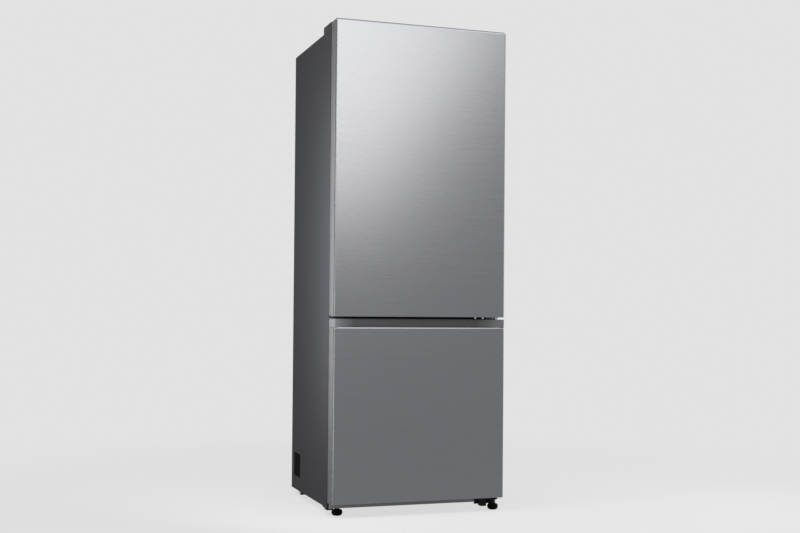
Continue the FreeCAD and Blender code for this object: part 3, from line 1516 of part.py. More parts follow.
def build():
    cabinet_shell()
    side_grilles()
    back_panel()
    rear_spacers()
    cabinet_foam()
    fridge_liner()
    freezer_liner()
    mullion_bar()
    top_cover()
    base_frame()
    kick_plate()
    base_bracket()
    levelling_foot("levelling_foot_left", left_foot, s.shell_bottom - s.bracket_sheet)
    levelling_foot("levelling_foot_right", right_foot, s.lower_plate_top - s.lower_plate_thick - s.seat_gap)
    top_hinge()
    middle_hinge()
    lower_hinge()
    hinge_screws()
    compressor_plate()
    roller_axles()
    rear_roller("rear_roller_left", -1)
    rear_roller("rear_roller_right", 1)
    compressor_grommets()
    compressor()
    condenser_coil()
    condenser_fan_mount()
    fan_wheel("condenser_fan", s.condenser_fan_radius, condenser_fan_place)
    drip_tray()
    rear_cover()
    freezer_back_panel()
    evaporator()
    evaporator_fan_motor()
    fan_wheel("evaporator_fan", s.evaporator_fan_radius - s.fan_tip_gap, evaporator_fan_place)
    air_duct()
    ceiling_lamp()
    fridge_shelf_glasses()
    fridge_shelf_trims()
    crisper_cover()
    freezer_shelves()
    door_skin("fridge_door_skin", fridge_door_low, fridge_skin_high, True)
    door_side_trims("fridge_door_side_trims", fridge_door_low, fridge_skin_high, True)
    fridge_door_top_cap()
    door_bottom_cap("fridge_door_bottom_cap", fridge_door_low)
    fridge_door_foam()
    door_liner("fridge_door_liner", fridge_door_low + s.cap_height, fridge_door_high - s.cap_height,
               fridge_dyke_x, s.fridge_dyke_depth, fridge_dyke_z,
               bin_levels + [bottle_level], True)
    gasket("fridge_door_gasket", (fridge_door_low + s.gasket_end_inset, cabinet_top - s.gasket_end_inset))
    door_bins()
    bottle_bin()
    door_skin("freezer_door_skin", s.freezer_door_low, s.panel_top, False)
    door_side_trims("freezer_door_side_trims", s.freezer_door_low, s.panel_top, False)
    door_bottom_cap("freezer_door_bottom_cap", s.freezer_door_low)
    freezer_door_foam()
    door_liner("freezer_door_liner", s.freezer_door_low + s.cap_height, s.panel_top,
               half - s.freezer_dyke_inset, s.freezer_dyke_depth,
               (s.freezer_low + s.freezer_dyke_gap, s.freezer_high - s.freezer_dyke_gap), [], False)
    gasket("freezer_door_gasket", (s.freezer_door_low + s.gasket_freezer_foot,
                                   s.freezer_door_high - s.gasket_freezer_head))
    freezer_door_grip()
    crispers()
    freezer_drawers()


def check_and_write():
    """Every object must be sound before any file is written."""
    doc.recompute()
    for item in doc.Objects:
        if "Invalid" in item.State or "Error" in item.State:
            raise RuntimeError("%s (%s) failed: %s" % (item.Name, item.Label, item.State))
    for piece in pieces:
        if piece.Shape.isNull() or not piece.Shape.isValid() or not piece.Shape.Solids:
            raise RuntimeError("%s has no sound solid" % piece.Label)
    os.makedirs("parts", exist_ok=True)
    for piece in pieces:
        piece.Shape.exportStep("parts/%s.step" % piece.Label)
        print("%-26s %2d solids, volume %.0f" % (piece.Label, len(piece.Shape.Solids), piece.Shape.Volume))


build()
check_and_write()
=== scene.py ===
import json
import math

import bmesh
import bpy
from mathutils import Matrix, Vector


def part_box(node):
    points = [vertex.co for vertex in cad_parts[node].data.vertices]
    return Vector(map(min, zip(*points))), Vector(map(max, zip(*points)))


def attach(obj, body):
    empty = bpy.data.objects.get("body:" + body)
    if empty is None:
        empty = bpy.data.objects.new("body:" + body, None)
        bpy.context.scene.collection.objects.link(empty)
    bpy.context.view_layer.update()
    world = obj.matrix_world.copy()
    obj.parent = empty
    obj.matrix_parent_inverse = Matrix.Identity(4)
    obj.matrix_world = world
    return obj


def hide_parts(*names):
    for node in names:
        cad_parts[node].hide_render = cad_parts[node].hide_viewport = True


# The looks of a tall bottom-freezer fridge with brushed steel doors and a dark painted cabinet.
# Metres, +Z up, -Y towards the person at the doors.

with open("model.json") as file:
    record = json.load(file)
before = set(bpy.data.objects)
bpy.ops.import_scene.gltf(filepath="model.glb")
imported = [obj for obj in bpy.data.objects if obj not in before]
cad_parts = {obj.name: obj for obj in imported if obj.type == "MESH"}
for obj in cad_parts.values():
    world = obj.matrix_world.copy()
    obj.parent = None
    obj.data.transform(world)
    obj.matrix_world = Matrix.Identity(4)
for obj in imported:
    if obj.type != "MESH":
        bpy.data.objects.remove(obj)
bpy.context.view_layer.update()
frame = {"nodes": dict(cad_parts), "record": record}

MM = 0.001
MERGE = 0.005 * MM
# Faces within the flat angle are joined, edges over the edge angle are rounded, and what is left
# shades smoothly up to the smooth angle.
FLAT_ANGLE = math.radians(0.8)
EDGE_ANGLE = math.radians(32)
SMOOTH_ANGLE = math.radians(40)
FACE_WEIGHT = 60

record = frame["record"]
BODY_OF = {node: body for body, nodes in record["behaviour"]["bodies"].items() for node in nodes}
SLOT_OF = {part["node"]: part["material_slot"] for part in record["subparts"]}

shell_low, shell_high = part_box("cabinet_shell")
HALF = shell_high.x
CABINET_FRONT = shell_low.y
CABINET_TOP = shell_high.z


# Materials

def shader_of(material):
    """A material's Principled shader."""
    return material.node_tree.nodes["Principled BSDF"]


def new_material(name, colour, roughness, metallic=0.0, **sockets):
    """A Principled material; further sockets are named with underscores for spaces."""
    material = bpy.data.materials.new(name)
    material.use_nodes = True
    shader = shader_of(material)
    shader.inputs["Base Color"].default_value = (*colour, 1)
    shader.inputs["Roughness"].default_value = roughness
    shader.inputs["Metallic"].default_value = metallic
    for socket, value in sockets.items():
        shader.inputs[socket.replace("_", " ")].default_value = value
    return material


def add_node(material, kind, **settings):
    """A new node of a material or world, with its settings."""
    node = material.node_tree.nodes.new(kind)
    for name, value in settings.items():
        setattr(node, name, value)
    return node


def wire(material, source, target):
    """Links one node's output to another's input."""
    material.node_tree.links.new(source, target)


def noise(material, size, detail=2.0, roughness=0.5):
    """Noise in real sizes: `size` is the length of one grain along X, Y and Z, in metres."""
    place = add_node(material, "ShaderNodeTexCoord")
    scale = add_node(material, "ShaderNodeMapping")
    scale.inputs["Scale"].default_value = [1 / length for length in size]
    grain = add_node(material, "ShaderNodeTexNoise")
    grain.inputs["Scale"].default_value = 1
    grain.inputs["Detail"].default_value = detail
    grain.inputs["Roughness"].default_value = roughness
    wire(material, place.outputs["Object"], scale.inputs["Vector"])
    wire(material, scale.outputs["Vector"], grain.inputs["Vector"])
    return grain.outputs["Fac"]


def spread(material, factor, low, high, start=0.3, end=0.7):
    """Maps a noise value to a range."""
    node = add_node(material, "ShaderNodeMapRange")
    node.inputs["From Min"].default_value = start
    node.inputs["From Max"].default_value = end
    node.inputs["To Min"].default_value = low
    node.inputs["To Max"].default_value = high
    wire(material, factor, node.inputs["Value"])
    return node.outputs["Result"]


def vary_colour(material, factor, colour, share):
    """Lets the base colour swing by a share either way."""
    blend = add_node(material, "ShaderNodeMix", data_type="RGBA")
    blend.inputs[6].default_value = (*[c * (1 - share) for c in colour], 1)
    blend.inputs[7].default_value = (*[c * (1 + share) for c in colour], 1)
    wire(material, factor, blend.inputs["Factor"])
    shader = shader_of(material)
    wire(material, blend.outputs[2], shader.inputs["Base Color"])


def relief(material, factor, depth, strength):
    """Raises the surface where a noise value is high, by up to a depth in metres."""
    bump = add_node(material, "ShaderNodeBump")
    bump.inputs["Distance"].default_value = depth
    bump.inputs["Strength"].default_value = strength
    shader = shader_of(material)
    wire(material, factor, bump.inputs["Height"])
    wire(material, bump.outputs["Normal"], shader.inputs["Normal"])


def mixed(material, first, second, share):
    """A weighted sum of two noise values."""
    blend = add_node(material, "ShaderNodeMix", data_type="FLOAT")
    blend.inputs["Factor"].default_value = share
    wire(material, first, blend.inputs["A"])
    wire(material, second, blend.inputs["B"])
    return blend.outputs["Result"]


SLOW_PATCH = 90 * MM
HAIRLINE = (70 * MM, 70 * MM, 0.35 * MM)
STREAK = (260 * MM, 260 * MM, 3.5 * MM)
MOTTLE = 14 * MM
METAL_GRAIN = 0.6 * MM
PLASTIC_WAVE = 30 * MM
FOAM_CELL = 2.5 * MM


def grained(name, colour, roughness, grain=0.4 * MM, swing=0.05, rough_swing=0.05, depth=0.02 * MM, **more):
    """Moulded or painted stuff: a fine grain in relief, and slow changes of colour and gloss."""
    material = new_material(name, colour, roughness, **more)
    fine = noise(material, [grain] * 3, detail=3)
    slow = noise(material, [SLOW_PATCH] * 3, detail=2)
    both = mixed(material, fine, slow, share=0.5)
    vary_colour(material, spread(material, both, 0, 1), colour, swing)
    shader = shader_of(material)
    wire(material, spread(material, slow, roughness - rough_swing, roughness + rough_swing),
         shader.inputs["Roughness"])
    relief(material, fine, depth, strength=0.6)
    return material


STEEL = (0.178, 0.1813, 0.196)


def brushed_steel(name, colour=STEEL, roughness=0.28):
    """Steel with long level hairlines: a fine set, and fainter wide streaks that show from afar."""
    material = new_material(name, colour, roughness, metallic=1.0)
    fine = noise(material, HAIRLINE, detail=2)
    wide = noise(material, STREAK, detail=4, roughness=0.65)
    both = mixed(material, fine, wide, share=0.5)
    vary_colour(material, spread(material, both, 0, 1), colour, share=0.035)
    shader = shader_of(material)
    wire(material, spread(material, both, roughness - 0.03, roughness + 0.03), shader.inputs["Roughness"])
    relief(material, fine, depth=0.003 * MM, strength=0.4)
    return material


def sheet_metal(name, colour, roughness):
    """Zinc plated or mill finish metal with a soft mottle."""
    material = new_material(name, colour, roughness, metallic=1.0)
    mottle = noise(material, [MOTTLE] * 3, detail=5, roughness=0.7)
    vary_colour(material, spread(material, mottle, 0, 1), colour, share=0.12)
    shader = shader_of(material)
    wire(material, spread(material, mottle, roughness - 0.08, roughness + 0.1), shader.inputs["Roughness"])
    relief(material, noise(material, [METAL_GRAIN] * 3), depth=0.01 * MM, strength=0.4)
    return material


def clear_plastic(name, colour, roughness, ior, frost):
    """See-through moulded plastic or glass, with a slightly uneven surface."""
    material = new_material(name, colour, roughness, IOR=ior, Transmission_Weight=1.0)
    slow = noise(material, [PLASTIC_WAVE] * 3, detail=2)
    shader = shader_of(material)
    wire(material, spread(material, slow, roughness, roughness + frost), shader.inputs["Roughness"])
    vary_colour(material, slow, colour, share=0.02)
    return material


def foam_material(name, colour):
    """Foam with open cells in relief."""
    material = new_material(name, colour, roughness=0.9)
    cells = noise(material, [FOAM_CELL] * 3, detail=5, roughness=0.7)
    vary_colour(material, spread(material, cells, 0, 1), colour, share=0.14)
    relief(material, cells, depth=0.5 * MM, strength=0.8)
    return material


# The grip's end ramps start and end this far from the middle; across them the grip's painted shade gives way
# to painted light.
RAMP_FOOT = 261 * MM
RAMP_HEAD = 366 * MM


def grip_painted_shade(name, recess_shade, end_light):
    """The grip's moulding, darker in the middle and paler towards the ramps at its two ends: painted shade in
    its recess and painted light on its ends.
    """
    material = grained(name, recess_shade, roughness=0.42, swing=0.03)
    place = add_node(material, "ShaderNodeTexCoord")
    split = add_node(material, "ShaderNodeSeparateXYZ")
    size = add_node(material, "ShaderNodeMath", operation="ABSOLUTE")
    wire(material, place.outputs["Object"], split.inputs[0])
    wire(material, split.outputs["X"], size.inputs[0])
    blend = add_node(material, "ShaderNodeMix", data_type="RGBA")
    blend.inputs[6].default_value = (*recess_shade, 1)
    blend.inputs[7].default_value = (*end_light, 1)
    wire(material, spread(material, size.outputs[0], 0, 1, RAMP_FOOT, RAMP_HEAD), blend.inputs["Factor"])
    wire(material, blend.outputs[2], shader_of(material).inputs["Base Color"])
    return material


MATERIALS = {
    "side_paint": grained("side_paint", (0.046, 0.047, 0.052), 0.45, grain=1.2 * MM, swing=0.012,
                          rough_swing=0.01, depth=0.01 * MM, Specular_IOR_Level=0.012),
    "door_steel": brushed_steel("door_steel"),
    "dark_plastic": grained("dark_plastic", (0.03, 0.031, 0.034), 0.5, Specular_IOR_Level=0.08),
    # The grip's colour runs from painted shade in the middle of its recess to painted light on its end ramps.
    "grip_grey": grip_painted_shade("grip_grey", (0.038, 0.039, 0.043), (0.105, 0.107, 0.113)),
    "kick_grey": grained("kick_grey", (0.5, 0.502, 0.51), 0.45),
    "black_plastic": grained("black_plastic", (0.007, 0.007, 0.008), 0.6, Specular_IOR_Level=0.01),
    "black_paint": grained("black_paint", (0.01, 0.01, 0.011), 0.42, grain=0.8 * MM,
                           Specular_IOR_Level=0.12),
    "zinc_steel": sheet_metal("zinc_steel", (0.55, 0.56, 0.58), 0.36),
    "liner_white": grained("liner_white", (0.78, 0.8, 0.815), 0.32, grain=2.5 * MM, swing=0.01,
                           rough_swing=0.04, depth=0.01 * MM),
    "seal_grey": grained("seal_grey", (0.035, 0.035, 0.038), 0.6, Specular_IOR_Level=0.15),
    "foam": foam_material("foam", (0.72, 0.62, 0.38)),
    "shelf_glass": clear_plastic("shelf_glass", (0.86, 0.95, 0.92), 0.0, 1.5, 0.02),
    "trim_grey": grained("trim_grey", (0.5, 0.51, 0.53), 0.35, swing=0.02),
    "clear_tub": clear_plastic("clear_tub", (0.93, 0.955, 0.97), 0.12, 1.2, 0.1),
    "lamp_lens": grained("lamp_lens", (0.86, 0.86, 0.84), 0.3, swing=0.01),
    "fin_aluminium": sheet_metal("fin_aluminium", (0.75, 0.76, 0.78), 0.34),
    "coil_black": grained("coil_black", (0.02, 0.02, 0.02), 0.35, grain=1.0 * MM),
    "motor_grey": grained("motor_grey", (0.2, 0.2, 0.21), 0.5),
}
TRIM_SILVER = grained("trim_silver", (0.085, 0.086, 0.091), 0.4, swing=0.02, Specular_IOR_Level=0.15)
RETURN_PAINT = grained("return_paint", (0.11, 0.112, 0.118), 0.4, swing=0.02, Specular_IOR_Level=0.1)
CAP_GREY = grained("cap_grey", (0.1, 0.102, 0.108), 0.5, swing=0.02)
SCREW_BRIGHT = sheet_metal("screw_bright", (0.88, 0.88, 0.89), 0.22)


# Mesh helpers

def finish_piece(name, mesh, nodes, slot=None, look=None):
    """Turns a bmesh into a shown piece that stands for CAD nodes and rides on their body."""
    slot = slot or SLOT_OF[nodes[0]]
    data = bpy.data.meshes.new(name)
    mesh.normal_update()
    mesh.to_mesh(data)
    mesh.free()
    data.shade_smooth()
    data.set_sharp_from_angle(angle=SMOOTH_ANGLE)
    data.materials.append(look or MATERIALS[slot])
    piece = bpy.data.objects.new(name, data)
    bpy.context.scene.collection.objects.link(piece)
    weigh = piece.modifiers.new("weighted_normals", "WEIGHTED_NORMAL")
    weigh.keep_sharp = True
    weigh.weight = FACE_WEIGHT
    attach(piece, BODY_OF[nodes[0]])
    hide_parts(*nodes)
    return piece


def copy_of(node):
    """A node's mesh with its triangles joined into flat faces."""
    mesh = bmesh.new()
    mesh.from_mesh(frame["nodes"][node].data)
    bmesh.ops.remove_doubles(mesh, verts=mesh.verts, dist=MERGE)
    bmesh.ops.dissolve_limit(mesh, angle_limit=FLAT_ANGLE, verts=mesh.verts, edges=mesh.edges,
                             delimit={"NORMAL"})
    return mesh


def round_off(mesh, width, segments=2, wanted=None):
    """Bevels the hard edges, or those that `wanted` picks."""
    edges = [edge for edge in mesh.edges
             if edge.is_manifold and edge.calc_face_angle(0) > EDGE_ANGLE and (not wanted or wanted(edge))]
    bmesh.ops.bevel(mesh, geom=edges, offset=width, offset_type="OFFSET", segments=segments, profile=0.5,
                    affect="EDGES", clamp_overlap=True)


def soften(node, width, segments=2, slot=None, look=None):
    """The CAD node with its hard edges rounded, as a moulding or a pressing has them."""
    mesh = copy_of(node)
    round_off(mesh, width, segments)
    return finish_piece(node + "_finish", mesh, [node], slot=slot, look=look)


def second_look(piece, material, wanted):
    """Gives a second material to the faces whose middles `wanted` picks."""
    piece.data.materials.append(material)
    for face in piece.data.polygons:
        if wanted(face.center):
            face.material_index = 1


def join_rings(mesh, rings):
    """Faces between each closed ring of points and the next."""
    for lower, upper in zip(rings, rings[1:]):
        for step in range(len(lower)):
            following = (step + 1) % len(lower)
            mesh.faces.new((lower[step], lower[following], upper[following], upper[step]))


def sheet_solid(outer, inner, keep=None):
    """A sheet between two grids of points; `keep` says which cells it has."""
    mesh = bmesh.new()
    rows, columns = len(outer), len(outer[0])
    skin = [[mesh.verts.new(point) for point in row] for row in outer]
    lining = [[mesh.verts.new(point) for point in row] for row in inner]
    cells = {(i, j) for i in range(rows - 1) for j in range(columns - 1) if not keep or keep(i, j)}
    for i, j in sorted(cells):
        mesh.faces.new((skin[i][j], skin[i][j + 1], skin[i + 1][j + 1], skin[i + 1][j]))
        mesh.faces.new((lining[i][j], lining[i + 1][j], lining[i + 1][j + 1], lining[i][j + 1]))
        sides = (((i, j - 1), (i + 1, j), (i, j)), ((i, j + 1), (i, j + 1), (i + 1, j + 1)),
                 ((i - 1, j), (i, j), (i, j + 1)), ((i + 1, j), (i + 1, j + 1), (i + 1, j)))
        for neighbour, a, b in sides:
            if neighbour not in cells:
                mesh.faces.new((skin[b[0]][b[1]], skin[a[0]][a[1]], lining[a[0]][a[1]], lining[b[0]][b[1]]))
    loose = [vert for vert in mesh.verts if not vert.link_faces]
    bmesh.ops.delete(mesh, geom=loose, context="VERTS")
    bmesh.ops.recalc_face_normals(mesh, faces=mesh.faces)
    return mesh


def arc_points(centre, radius, start, end, steps):
    """Points along an arc in a plane, angles in degrees."""
    points = []
    for step in range(steps + 1):
        turn = math.radians(start + (end - start) * step / steps)
        points.append((centre[0] + radius * math.cos(turn), centre[1] + radius * math.sin(turn)))
    return points


# Doors

SHEET = 0.8 * MM
DOOR_CORNER = 6 * MM
DOOR_EDGE = 1.2 * MM
CORNER_STEPS = 8
EDGE_STEPS = 4

# The top edge of each skin slopes back before it turns in, and shows as a bright line.
SLOPE_HEIGHT = 4.5 * MM
SLOPE_TILT = math.radians(28)
SLOPE_BEND = 0.6 * MM
SLOPE_LENGTH = (SLOPE_HEIGHT - SLOPE_BEND) / math.cos(SLOPE_TILT)
SLOPE_INSET = SLOPE_BEND + SLOPE_LENGTH * math.sin(SLOPE_TILT)

# The fridge door's skin hangs this far below its cap, and clears the middle hinge's plate as it swings.
FRIDGE_HEM = 3.5 * MM


def door_plan(front, back, inset, right_back=None):
    """The skin's line from above: left return, round corner, front, round corner, right return."""
    side = HALF - inset
    corner = HALF - DOOR_CORNER
    centre_y = front + DOOR_CORNER
    radius = DOOR_CORNER - inset
    line = [(-side, back)]
    line += arc_points((-corner, centre_y), radius, 180, 270, CORNER_STEPS)
    line += arc_points((corner, centre_y), radius, 270, 360, CORNER_STEPS)
    line.append((side, right_back or back))
    line.append((side, back))
    return line


def rolled_levels(low, high, extra=()):
    """Heights of a skin from its rolled bottom edge to its sloping top edge, each with its inset."""
    levels = []
    for step in range(EDGE_STEPS + 1):
        turn = math.radians(90 * step / EDGE_STEPS)
        levels.append((low + DOOR_EDGE * (1 - math.sin(turn)), DOOR_EDGE * (1 - math.cos(turn))))
    levels.reverse()
    levels += [(level, 0.0) for level in extra]
    foot = high - SLOPE_HEIGHT
    for step in range(EDGE_STEPS + 1):
        turn = SLOPE_TILT * step / EDGE_STEPS
        levels.append((foot + SLOPE_BEND * math.sin(turn), SLOPE_BEND * (1 - math.cos(turn))))
    level, inset = levels[-1]
    level += SLOPE_LENGTH * math.cos(SLOPE_TILT)
    inset += SLOPE_LENGTH * math.sin(SLOPE_TILT)
    for step in range(EDGE_STEPS + 1):
        turn = SLOPE_TILT + (math.pi / 2 - SLOPE_TILT) * step / EDGE_STEPS
        levels.append((level + SLOPE_BEND * (math.sin(turn) - math.sin(SLOPE_TILT)),
                       inset + SLOPE_BEND * (math.cos(SLOPE_TILT) - math.cos(turn))))
    return levels


def door_skin(name, node, hem=0.0, notch=None):
    """The brushed front with round corners, a rolled bottom, a sloping top edge and a return at each side."""
    low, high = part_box(node)
    front, back = low.y, high.y
    levels = rolled_levels(low.z - hem, high.z, [notch[0]] if notch else [])
    notch_y = notch[1] if notch else None
    outer = [[(x, y, z) for x, y in door_plan(front, back, inset, notch_y)] for z, inset in levels]
    inner = [[(x, y, z) for x, y in door_plan(front, back, inset + SHEET, notch_y)]
             for z, inset in levels]
    last = len(outer[0]) - 2

    def keep(row, column):
        return column != last or (notch and levels[row][0] < notch[0] - MERGE)

    def on_return(middle):
        return middle.y > front + DOOR_CORNER and abs(middle.x) > HALF - SLOPE_INSET - SHEET

    piece = finish_piece(name, sheet_solid(outer, inner, keep), [node])
    second_look(piece, RETURN_PAINT, on_return)


def cut_at(mesh, level):
    """Adds a level ring of edges round a mesh."""
    bmesh.ops.bisect_plane(mesh, geom=mesh.verts[:] + mesh.edges[:] + mesh.faces[:], dist=MERGE,
                           plane_co=(0, 0, level), plane_no=(0, 0, 1))


def tucked(node, skin, width, look=None):
    """A moulding drawn in behind the sloping top edge of the skin in front of it."""
    low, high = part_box(skin)
    foot = high.z - SLOPE_HEIGHT
    mesh = copy_of(node)
    cut_at(mesh, foot)
    cut_at(mesh, high.z)
    for vert in mesh.verts:
        behind = vert.co.y > low.y + SHEET / 2 and abs(vert.co.x) < HALF - SHEET / 2
        if behind and vert.co.z > foot + MERGE:
            share = min((vert.co.z - foot) / SLOPE_HEIGHT, 1.0)
            inset = SLOPE_INSET * share + SHEET
            vert.co.y = max(vert.co.y, low.y + inset)
            vert.co.x = max(min(vert.co.x, HALF - inset), inset - HALF)
    round_off(mesh, width)
    finish_piece(node + "_finish", mesh, [node], look=look)


TRIM_SEAM = 0.8 * MM
TRIM_EDGE = 0.25 * MM


def side_trims(node):
    """The strips that carry on the skin's returns, set back a little so that the seam shows."""
    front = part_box(node)[0].y
    mesh = copy_of(node)
    for vert in mesh.verts:
        if vert.co.y < front + MERGE:
            vert.co.y += TRIM_SEAM
    round_off(mesh, TRIM_EDGE)
    finish_piece(node + "_finish", mesh, [node], look=TRIM_SILVER)


# The cabinet

FOLD = 0.8 * MM
FOLD_STEPS = 3
FOLD_REACH = 1.2 * SHEET


def cabinet_wrap():
    """The painted wrap with its folds rounded where the sides meet the top and the front flanges."""
    node = "cabinet_shell"

    def near(point):
        return (abs(point.x) > HALF - FOLD_REACH, point.y < CABINET_FRONT + FOLD_REACH,
                point.z > CABINET_TOP - FOLD_REACH)

    def fold(edge):
        both = [a and b for a, b in zip(*[near(vert.co) for vert in edge.verts])]
        return sum(both) >= 2

    mesh = copy_of(node)
    round_off(mesh, FOLD, segments=FOLD_STEPS, wanted=fold)
    finish_piece(node + "_finish", mesh, [node])


VENT_PITCH = 6.0 * MM
VENT_WEB = 1.5 * MM


def hexagon(mesh, x, centre_y, centre_z, radius):
    """Six points at a given X, the first of them 30 degrees up from +Y."""
    ring = []
    for corner in range(6):
        turn = math.radians(60 * corner + 30)
        point = (x, centre_y + radius * math.cos(turn), centre_z + radius * math.sin(turn))
        ring.append(mesh.verts.new(point))
    return ring


def vent_mesh():
    """Fine hexagonal mesh over each vent, a plate as deep as the grille and held behind the wrap."""
    node = "side_grilles"
    low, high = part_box(node)
    depth = min(abs(vert.co.x) for vert in frame["nodes"][node].data.vertices)
    face = HALF - SHEET
    outer = VENT_PITCH / math.sqrt(3)
    hole = (VENT_PITCH - VENT_WEB) / math.sqrt(3)
    row_step = 1.5 * outer
    rows = int((high.z - low.z - 2 * outer) / row_step)
    columns = int((high.y - low.y - 1.5 * VENT_PITCH) / VENT_PITCH)
    first_y = (low.y + high.y - columns * VENT_PITCH) / 2 - VENT_PITCH / 4
    first_z = (low.z + high.z - rows * row_step) / 2
    mesh = bmesh.new()
    for side in (-1, 1):
        for row in range(rows + 1):
            for column in range(columns + 1):
                centre_y = first_y + (column + 0.5 * (row % 2)) * VENT_PITCH
                centre_z = first_z + row * row_step
                join_rings(mesh, [hexagon(mesh, side * x, centre_y, centre_z, radius) for radius, x in
                                  ((outer, face), (hole, face), (hole, depth), (outer, depth))])
    bmesh.ops.remove_doubles(mesh, verts=mesh.verts, dist=MERGE)
    rim = [edge for edge in mesh.edges if edge.is_boundary and abs(edge.verts[0].co.x) > face - MERGE]
    behind = {}
    for edge in rim:
        for vert in edge.verts:
            if vert not in behind:
                back = vert.co.copy()
                back.x = math.copysign(depth, back.x)
                behind[vert] = mesh.verts.new(back)
    for edge in rim:
        one, other = edge.verts
        mesh.faces.new((one, other, behind[other], behind[one]))
    bmesh.ops.remove_doubles(mesh, verts=mesh.verts, dist=MERGE)
    bmesh.ops.recalc_face_normals(mesh, faces=mesh.faces)
    finish_piece("side_grilles_finish", mesh, [node])


LUG_LEVEL = 24 * MM
LUG_WIDTH = 4 * MM
WEB_WIDTH = 27 * MM
WEB_DEPTH = 3 * MM
BRACKET_EDGE = 0.6 * MM


def front_bracket():
    """The foot's bracket with a shallow side lug, and a web that closes its corner at the front."""
    node = "base_bracket"
    low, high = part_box(node)
    mesh = copy_of(node)
    for vert in mesh.verts:
        if vert.co.z < low.z + MERGE and vert.co.x < -HALF + LUG_WIDTH:
            vert.co.z = LUG_LEVEL
    across = (-HALF, -HALF + WEB_WIDTH)
    deep = (CABINET_FRONT, CABINET_FRONT + WEB_DEPTH)
    up = (LUG_LEVEL, high.z)
    corners = [mesh.verts.new((x, y, z)) for x in across for y in deep for z in up]
    for face in ((0, 1, 3, 2), (4, 6, 7, 5), (0, 4, 5, 1), (2, 3, 7, 6), (0, 2, 6, 4), (1, 5, 7, 3)):
        mesh.faces.new([corners[index] for index in face])
    bmesh.ops.recalc_face_normals(mesh, faces=mesh.faces)
    round_off(mesh, BRACKET_EDGE)
    finish_piece(node + "_finish", mesh, [node])


LEAF_THICKNESS = 4 * MM
HINGE_EDGE = 0.5 * MM


def middle_hinge():
    """The plate that carries the pins, and the leaf behind it in black paint, which is partly a black finish
    and partly painted shade for the deep gap between the doors.
    """
    node = "middle_hinge"
    leaf_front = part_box(node)[1].y - LEAF_THICKNESS - HINGE_EDGE
    # The leaf's black is partly painted shade for the gap it sits in.
    second_look(soften(node, HINGE_EDGE), MATERIALS["black_paint"], lambda middle: middle.y > leaf_front)


# Levelling feet

TURN_STEPS = 64


def turned(name, node, centre, profile):
    """A turned piece from (radius, height) pairs, about a vertical line through centre."""
    mesh = bmesh.new()
    rings = []
    for radius, height in profile:
        ring = []
        for step in range(TURN_STEPS):
            turn = 2 * math.pi * step / TURN_STEPS
            ring.append(mesh.verts.new((centre[0] + radius * math.cos(turn),
                                        centre[1] + radius * math.sin(turn), height)))
        rings.append(ring)
    join_rings(mesh, rings)
    mesh.faces.new(list(reversed(rings[0])))
    mesh.faces.new(rings[-1])
    bmesh.ops.recalc_face_normals(mesh, faces=mesh.faces)
    finish_piece(name, mesh, [node])


def levelling_foot(node):
    """A deep black cup with a rounded foot and shoulder, on a stout neck."""
    low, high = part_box(node)
    centre = (low + high) / 2
    rim = (high.x - low.x) / 2
    drum = 25 * MM
    neck = 9 * MM
    foot_round = 12 * MM
    shoulder_round = 8 * MM
    sole_inset = 1.5 * MM
    collar = 2 * MM
    collar_foot = 1 * MM
    collar_head = 3 * MM
    sole_angle = -75
    shoulder_angle = 80
    foot_steps = 8
    shoulder_steps = 6
    top = low.z + drum
    profile = [(rim - foot_round - sole_inset, low.z)]
    profile += arc_points((rim - foot_round, low.z + foot_round), foot_round, sole_angle, 0, foot_steps)
    profile += arc_points((rim - shoulder_round, top - shoulder_round), shoulder_round, 0, shoulder_angle,
                          shoulder_steps)
    profile += [(neck + collar, top + collar_foot), (neck, top + collar_head), (neck, high.z)]
    turned(node + "_finish", node, centre, profile)


# Building

# Above this level the fridge door's right return ends further forward, as in the solid.
NOTCH_LEVEL = 1999.5 * MM
NOTCH_BACK = -338 * MM
CAP_EDGE = 0.8 * MM
GRIP_EDGE = 0.5 * MM
CROSSBAR_EDGE = 0.6 * MM
SCREW_EDGE = 0.4 * MM
door_skin("fridge_door_front", "fridge_door_skin", hem=FRIDGE_HEM, notch=(NOTCH_LEVEL, NOTCH_BACK))
door_skin("freezer_door_front", "freezer_door_skin")
tucked("fridge_door_top_cap", "fridge_door_skin", CAP_EDGE, look=CAP_GREY)
tucked("freezer_door_grip", "freezer_door_skin", GRIP_EDGE)
# Both show through the gap between the doors, which is dark in the photograph; their dark colours are partly
# their own and partly painted shade for that gap.
soften("fridge_door_bottom_cap", CAP_EDGE, slot="black_plastic")
soften("mullion_bar", CROSSBAR_EDGE, slot="dark_plastic")
side_trims("fridge_door_side_trims")
side_trims("freezer_door_side_trims")
cabinet_wrap()
vent_mesh()
front_bracket()
middle_hinge()
soften("hinge_screws", SCREW_EDGE, look=SCREW_BRIGHT)

for side in ("left", "right"):
    levelling_foot("levelling_foot_" + side)

